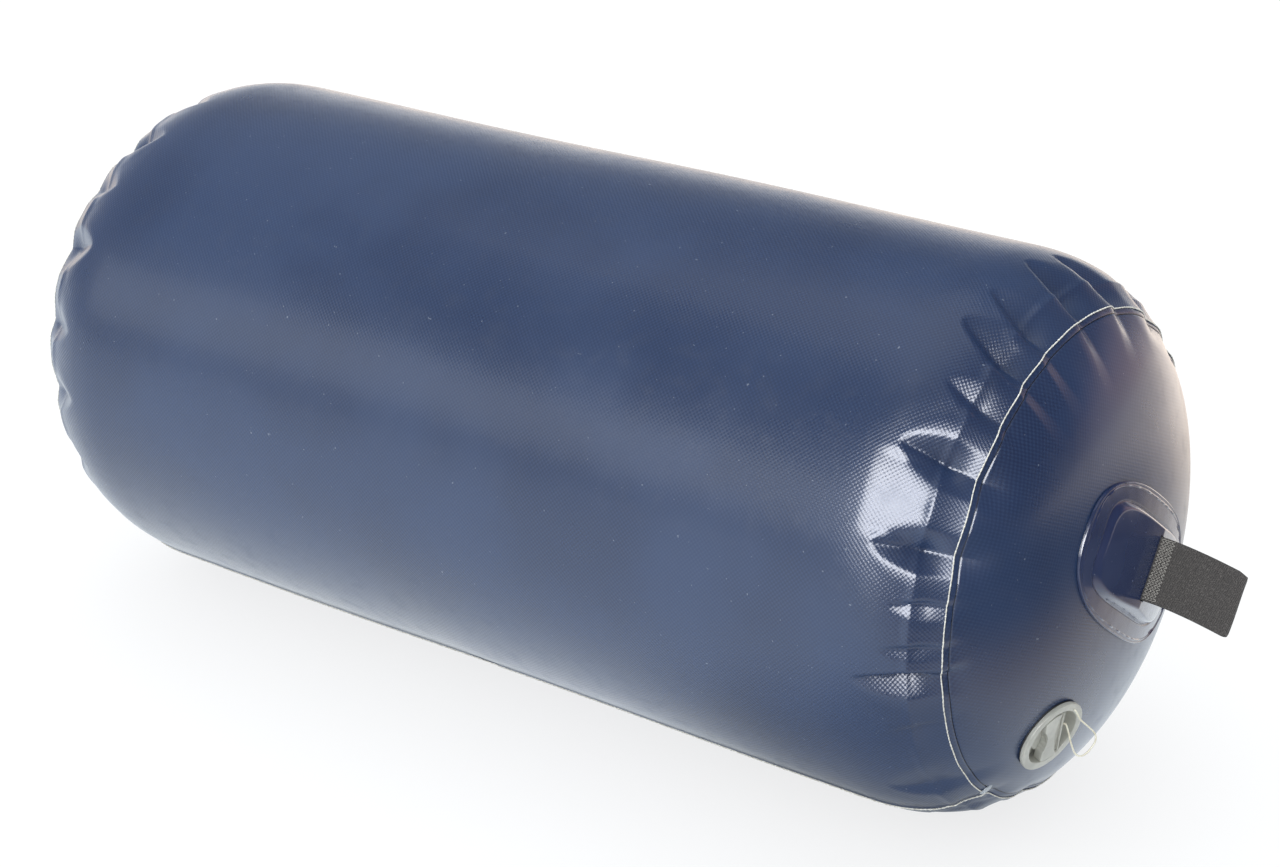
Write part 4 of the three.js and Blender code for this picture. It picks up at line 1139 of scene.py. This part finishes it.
def valve_moulding():
    """Flange, cup, skirt and socket, with the edges of the moulding rounded."""
    socket_outside, under_cup = SOCKET_RADIUS + SOCKET_WALL, CUP_BOTTOM - CUP_FLOOR_THICKNESS
    skirt_inside = SHANK_RADIUS - SKIRT_WALL
    outline = rounded([
        (STEM_BORE, SPIDER_BOTTOM), (socket_outside, SPIDER_BOTTOM), (socket_outside, under_cup),
        (skirt_inside, under_cup), (skirt_inside, -SHANK_LENGTH), (SHANK_RADIUS, -SHANK_LENGTH),
        (SHANK_RADIUS, FLANGE_UNDERSIDE), (VALVE_FLANGE_RADIUS, FLANGE_UNDERSIDE),
        (VALVE_FLANGE_RADIUS, RIM_TOP), (CUP_RADIUS, RIM_TOP), (CUP_FLOOR_RADIUS, CUP_BOTTOM),
        (SOCKET_RADIUS, CUP_BOTTOM), (SOCKET_RADIUS, SOCKET_BOTTOM), (STEM_BORE, SOCKET_BOTTOM),
    ], MOULDING_ROUND)
    made = lathe("valve_moulding", outline, 144)
    middle = (SPIDER_HOLE_CIRCLE, 0, SPIDER_BOTTOM + SPIDER_THICKNESS / 2)
    for i in range(SPIDER_HOLES):
        shell = bmesh.new()
        bmesh.ops.create_cone(shell, cap_ends=True, segments=32, radius1=SPIDER_HOLE_RADIUS,
                              radius2=SPIDER_HOLE_RADIUS, depth=3 * SPIDER_THICKNESS)
        drill = from_shell("drill", shell)
        turn = Matrix.Rotation(2 * i * math.pi / SPIDER_HOLES, 4, "Z")
        drill.data.transform(turn @ Matrix.Translation(middle))
        cut(made, drill)
    made.data.transform(VALVE)
    sharp_from(made, 32)
    finish_piece(made, "fender", "valve_plastic", VALVE_PLASTIC)
    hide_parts("valve_body")


def end_angle(across):
    return math.asin(across / GRIP_RADIUS)


def arc_points(start, end):
    turn = np.linspace(start, end, 14)
    return [(GRIP_RADIUS * math.cos(a), GRIP_RADIUS * math.sin(a)) for a in turn]


def grip_side():
    """The ribbed scallop, from one end of the grip to the other."""
    points = []
    steps = GRIP_RIBS * RIB_STEPS
    for i in range(steps + 1):
        along = SCALLOP_HALF_LENGTH * (1 - 2 * i / steps)
        waist = SCALLOP_WAIST + (GRIP_TO_RIBS - SCALLOP_WAIST) * (along / SCALLOP_HALF_LENGTH) ** 2
        points.append((along, waist + GRIP_RIB_DEPTH * (0.5 - 0.5 * math.cos(2 * math.pi * i / RIB_STEPS))))
    return points


def ribbed_outline(start):
    """The ends of the grip, each from an angle up, and the ribbed side between them."""
    ribs = end_angle(GRIP_TO_RIBS)
    return arc_points(start, ribs) + grip_side() + arc_points(math.pi - ribs, math.pi - start)


def crest_outline():
    ledge = end_angle(LEDGE_END)
    step_end = GRIP_RADIUS * math.cos(ledge)
    share = np.linspace(-1, 1, 25)[1:-1]
    step = [(step_end * s, LEDGE_WAIST + (LEDGE_END - LEDGE_WAIST) * s * s) for s in share]
    return ribbed_outline(ledge) + step


def lip_outline():
    low, high = -GRIP_TO_LIP, -GRIP_TO_LIP + LIP_WIDTH
    reach = GRIP_RADIUS * math.cos(end_angle(GRIP_TO_LIP))
    return [(-reach, low), (reach, low), (reach, high), (-reach, high)]


def raised(outline, bottom, top, bevel):
    """A flat outline raised between two heights, with its top edge rounded."""
    shell = bmesh.new()
    foot = [shell.verts.new((x, y, bottom)) for x, y in outline]
    head = [shell.verts.new((x, y, top)) for x, y in outline]
    shell.faces.new(foot[::-1])
    shell.faces.new(head)
    for i in range(len(outline)):
        j = (i + 1) % len(outline)
        shell.faces.new((foot[i], foot[j], head[j], head[i]))
    edges = [edge for edge in shell.edges if all(v.co.z > top - 1e-9 for v in edge.verts)]
    bmesh.ops.bevel(shell, geom=edges, offset=bevel, segments=3, profile=0.5, affect="EDGES",
                    clamp_overlap=True)
    bmesh.ops.triangulate(shell, faces=[face for face in shell.faces if len(face.verts) > 4])
    return shell


def cap_moulding():
    """The hollow plug with its disc, and the grip bar on it in three parts."""
    plug_bottom = CAP_DISC_BOTTOM - CAP_PLUG_DEPTH
    inner = PLUG_RADIUS - CAP_PLUG_WALL
    made = lathe("cap_moulding", [
        (0, CAP_DISC_BOTTOM), (inner, CAP_DISC_BOTTOM), (inner, plug_bottom), (PLUG_RADIUS, plug_bottom),
        (PLUG_RADIUS, CAP_DISC_BOTTOM), (CAP_DISC_RADIUS, CAP_DISC_BOTTOM),
        (CAP_DISC_RADIUS, CAP_DISC_TOP - CAP_EDGE), (CAP_DISC_RADIUS - CAP_EDGE, CAP_DISC_TOP),
        (0, CAP_DISC_TOP),
    ], 96)
    shell = bmesh.new()
    shell.from_mesh(made.data)
    pieces = [
        (ribbed_outline(-end_angle(GRIP_TO_LIP)), CAP_DISC_TOP - GRIP_SINK, LEDGE_TOP, 0.00035),
        (crest_outline(), LEDGE_TOP - GRIP_SINK, GRIP_TOP, 0.0003),
        (lip_outline(), LEDGE_TOP - GRIP_SINK, GRIP_TOP - LIP_DROP, 0.00035),
    ]
    for outline, bottom, top, bevel in pieces:
        part = raised(outline, bottom, top, bevel)
        part.transform(Matrix.Rotation(GRIP_TURN, 4, "Z"))
        data = bpy.data.meshes.new("part")
        part.to_mesh(data)
        part.free()
        shell.from_mesh(data)
        bpy.data.meshes.remove(data)
    shell.transform(VALVE)
    bmesh.ops.recalc_face_normals(shell, faces=shell.faces)
    shell.to_mesh(made.data)
    shell.free()
    sharp_from(made, 35)
    finish_piece(made, "cap", "valve_plastic", VALVE_PLASTIC)
    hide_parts("valve_cap")


def spring_coil():
    """The spring under the button, a fixed coil between the seated spring's lowest and highest points. On the
    real valve it shortens as the plunger goes in.
    """
    seated = frame["nodes"]["valve_spring"]
    into_valve = VALVE.inverted() @ seated.matrix_world
    heights = [(into_valve @ vertex.co).z for vertex in seated.data.vertices]
    low, high = min(heights), max(heights)
    share = np.linspace(0, 1, 30 * SPRING_TURNS)
    turn = 2 * math.pi * SPRING_TURNS * share
    rise = low + SPRING_WIRE / 2 + (high - low - SPRING_WIRE) * share
    coil = np.column_stack([SPRING_RADIUS * np.cos(turn), SPRING_RADIUS * np.sin(turn), rise])
    route = [VALVE @ Vector(point) for point in coil]
    made = facing_out(tube("valve_spring_coil", route, SPRING_WIRE / 2, 10))
    finish_piece(made, None, "spring_steel", STEEL)
    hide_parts("valve_spring")
    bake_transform(made)


valve_moulding()
cap_moulding()
spring_coil()

for name, item in (
    ("valve_gasket", RUBBER), ("cap_seal", RUBBER), ("valve_diaphragm", RUBBER),
    ("valve_lock_nut", VALVE_PLASTIC), ("valve_stem", VALVE_PLASTIC), ("stem_button", VALVE_PLASTIC),
):
    slots = frame["nodes"][name].data.materials
    slots.clear()
    slots.append(item)


# Floor and light

def ray_shares(tree):
    """1 for what the camera sees itself, and 1 for what it sees mirrored or through something."""
    rays = node(tree, "ShaderNodeLightPath").outputs
    return rays["Is Camera Ray"], maths("MAXIMUM", rays["Is Glossy Ray"], rays["Is Transmission Ray"])


def shining(tree, kind, colour, strength):
    return node(tree, kind, {"Color": colour, "Strength": strength}).outputs[0]


def matt(tree, grey):
    return node(tree, "ShaderNodeBsdfDiffuse", {"Color": (grey, grey, grey, 1)}).outputs[0]


def by_ray(tree, plain_light, to_mirror, to_camera):
    """One shader for what the camera sees, one for what it sees mirrored, and one for the rest."""
    camera_ray, mirrored = ray_shares(tree)
    first = node(tree, "ShaderNodeMixShader", {0: mirrored, 1: plain_light, 2: to_mirror})
    return node(tree, "ShaderNodeMixShader", {0: camera_ray, 1: first.outputs[0], 2: to_camera}).outputs[0]


def floor():
    """A pale floor that looks white and keeps the shadow. Mirrored, it glows: dark in front of the near end,
    brighter and warmer behind, with a painted shadow beside the fender.
    """
    signs = ((-1, -1), (1, -1), (1, 1), (-1, 1))
    made = new_object("floor", [(FLOOR_REACH * x, FLOOR_REACH * y, 0) for x, y in signs], [(0, 1, 2, 3)])
    item = bpy.data.materials.new("floor")
    tree = empty_tree(item)
    position = node(tree, "ShaderNodeNewGeometry").outputs["Position"]
    x, y = axes(position)["X"], axes(position)["Y"]
    glow = shining(tree, "ShaderNodeEmission", (1, 1, 1, 1), FLOOR_GLOW)
    bright = node(tree, "ShaderNodeAddShader", {0: matt(tree, 0.2), 1: glow}).outputs[0]
    onward = band(x, 0.5, 1.1, 1.3, 0.1)
    behind = times(band(y, 0.6, 1.4, 0, 1.3), band(x, -1, 1, 0.45, 1))
    # Painted shadow: the mirrored glow is dimmed round a spot beside the fender.
    shadow_spot = node(tree, "ShaderNodeVectorMath", {0: position, 1: (0.38, -0.2, 0)}, operation="DISTANCE")
    painted_shadow = band(shadow_spot.outputs["Value"], 0.06, 0.32, 0.36, 1)
    strength = maths("MULTIPLY_ADD", onward, painted_shadow, behind)
    warmth = maths("MAXIMUM", band(y, 0.2, 0.9), band(x, 0.5, 0.8))
    tint = mixed(warmth, (0.94, 1, 1.04, 1), (1, 0.87, 0.75, 1))
    seen = shining(tree, "ShaderNodeEmission", tint, strength)
    feed(node(tree, "ShaderNodeOutputMaterial"), {"Surface": by_ray(tree, matt(tree, 0.72), seen, bright)})
    made.data.materials.append(item)


def area_light(name, location, target, width, height, power, colour=(1, 1, 1)):
    data = bpy.data.lights.new(name, "AREA")
    data.shape = "RECTANGLE"
    data.size = width
    data.size_y = height
    data.energy = power
    data.color = colour
    made = placed(name, data)
    made.location = location
    made.rotation_euler = (Vector(target) - Vector(location)).to_track_quat("-Z", "Y").to_euler()
    return made


def window_light():
    """A large soft box that the cloth between two gathers mirrors to the camera."""
    here = Vector(chamber_point(np.array(SEAM_ARC + 0.042), np.array(61.0), 1))
    turn, rise = math.radians(-72), math.radians(28)
    way = Vector((math.cos(rise) * math.cos(turn), math.cos(rise) * math.sin(turn), math.sin(rise)))
    made = area_light("window", here + WINDOW_DISTANCE * way, here, 2.4, 1.6, 180)
    made.visible_diffuse = False


def world():
    """Even light from all round, and a white wall behind that only shows in what is mirrored."""
    made = bpy.data.worlds.new("world")
    bpy.context.scene.world = made
    tree = empty_tree(made)
    way = axes(node(tree, "ShaderNodeTexCoord").outputs["Generated"])
    x, y, z = way["X"], way["Y"], way["Z"]
    light = shining(tree, "ShaderNodeBackground", (0.91, 0.96, 1, 1), band(x, -0.1, 0.8, 1.75, 0.6))
    low = band(z, 0.05, 0.3, 1, 0)
    taller = times(band(x, 0.1, 0.5), band(z, 0.25, 0.6, 1, 0))
    wider = plus(y, band(x, -0.7, -0.3, 0.5, 0))
    behind = times(band(wider, 0.5, 0.85), maths("MAXIMUM", low, taller))
    strength = maths("MULTIPLY_ADD", behind, 0.9, band(x, -0.72, -0.4, 0.42, 0.13))
    warm = mixed(band(x, -0.2, 0.5), (0.94, 0.97, 1, 1), (1, 0.66, 0.54, 1))
    wall = shining(tree, "ShaderNodeBackground", warm, strength)
    white = shining(tree, "ShaderNodeBackground", (1, 1, 1, 1), 1.0)
    feed(node(tree, "ShaderNodeOutputWorld"), {"Surface": by_ray(tree, light, wall, white)})


floor()
world()
window_light()
area_light("wall_of_light", (-1.6, -2.85, 1.3), (0, 0, 0.2), 3.4, 1.2, 17, (0.94, 0.98, 1))
area_light("overhead", (-0.3, 0.2, 2.8), (0, 0, 0.2), 2.0, 2.0, 8, (1, 0.99, 0.97))

bpy.context.scene.view_settings.view_transform = "Standard"
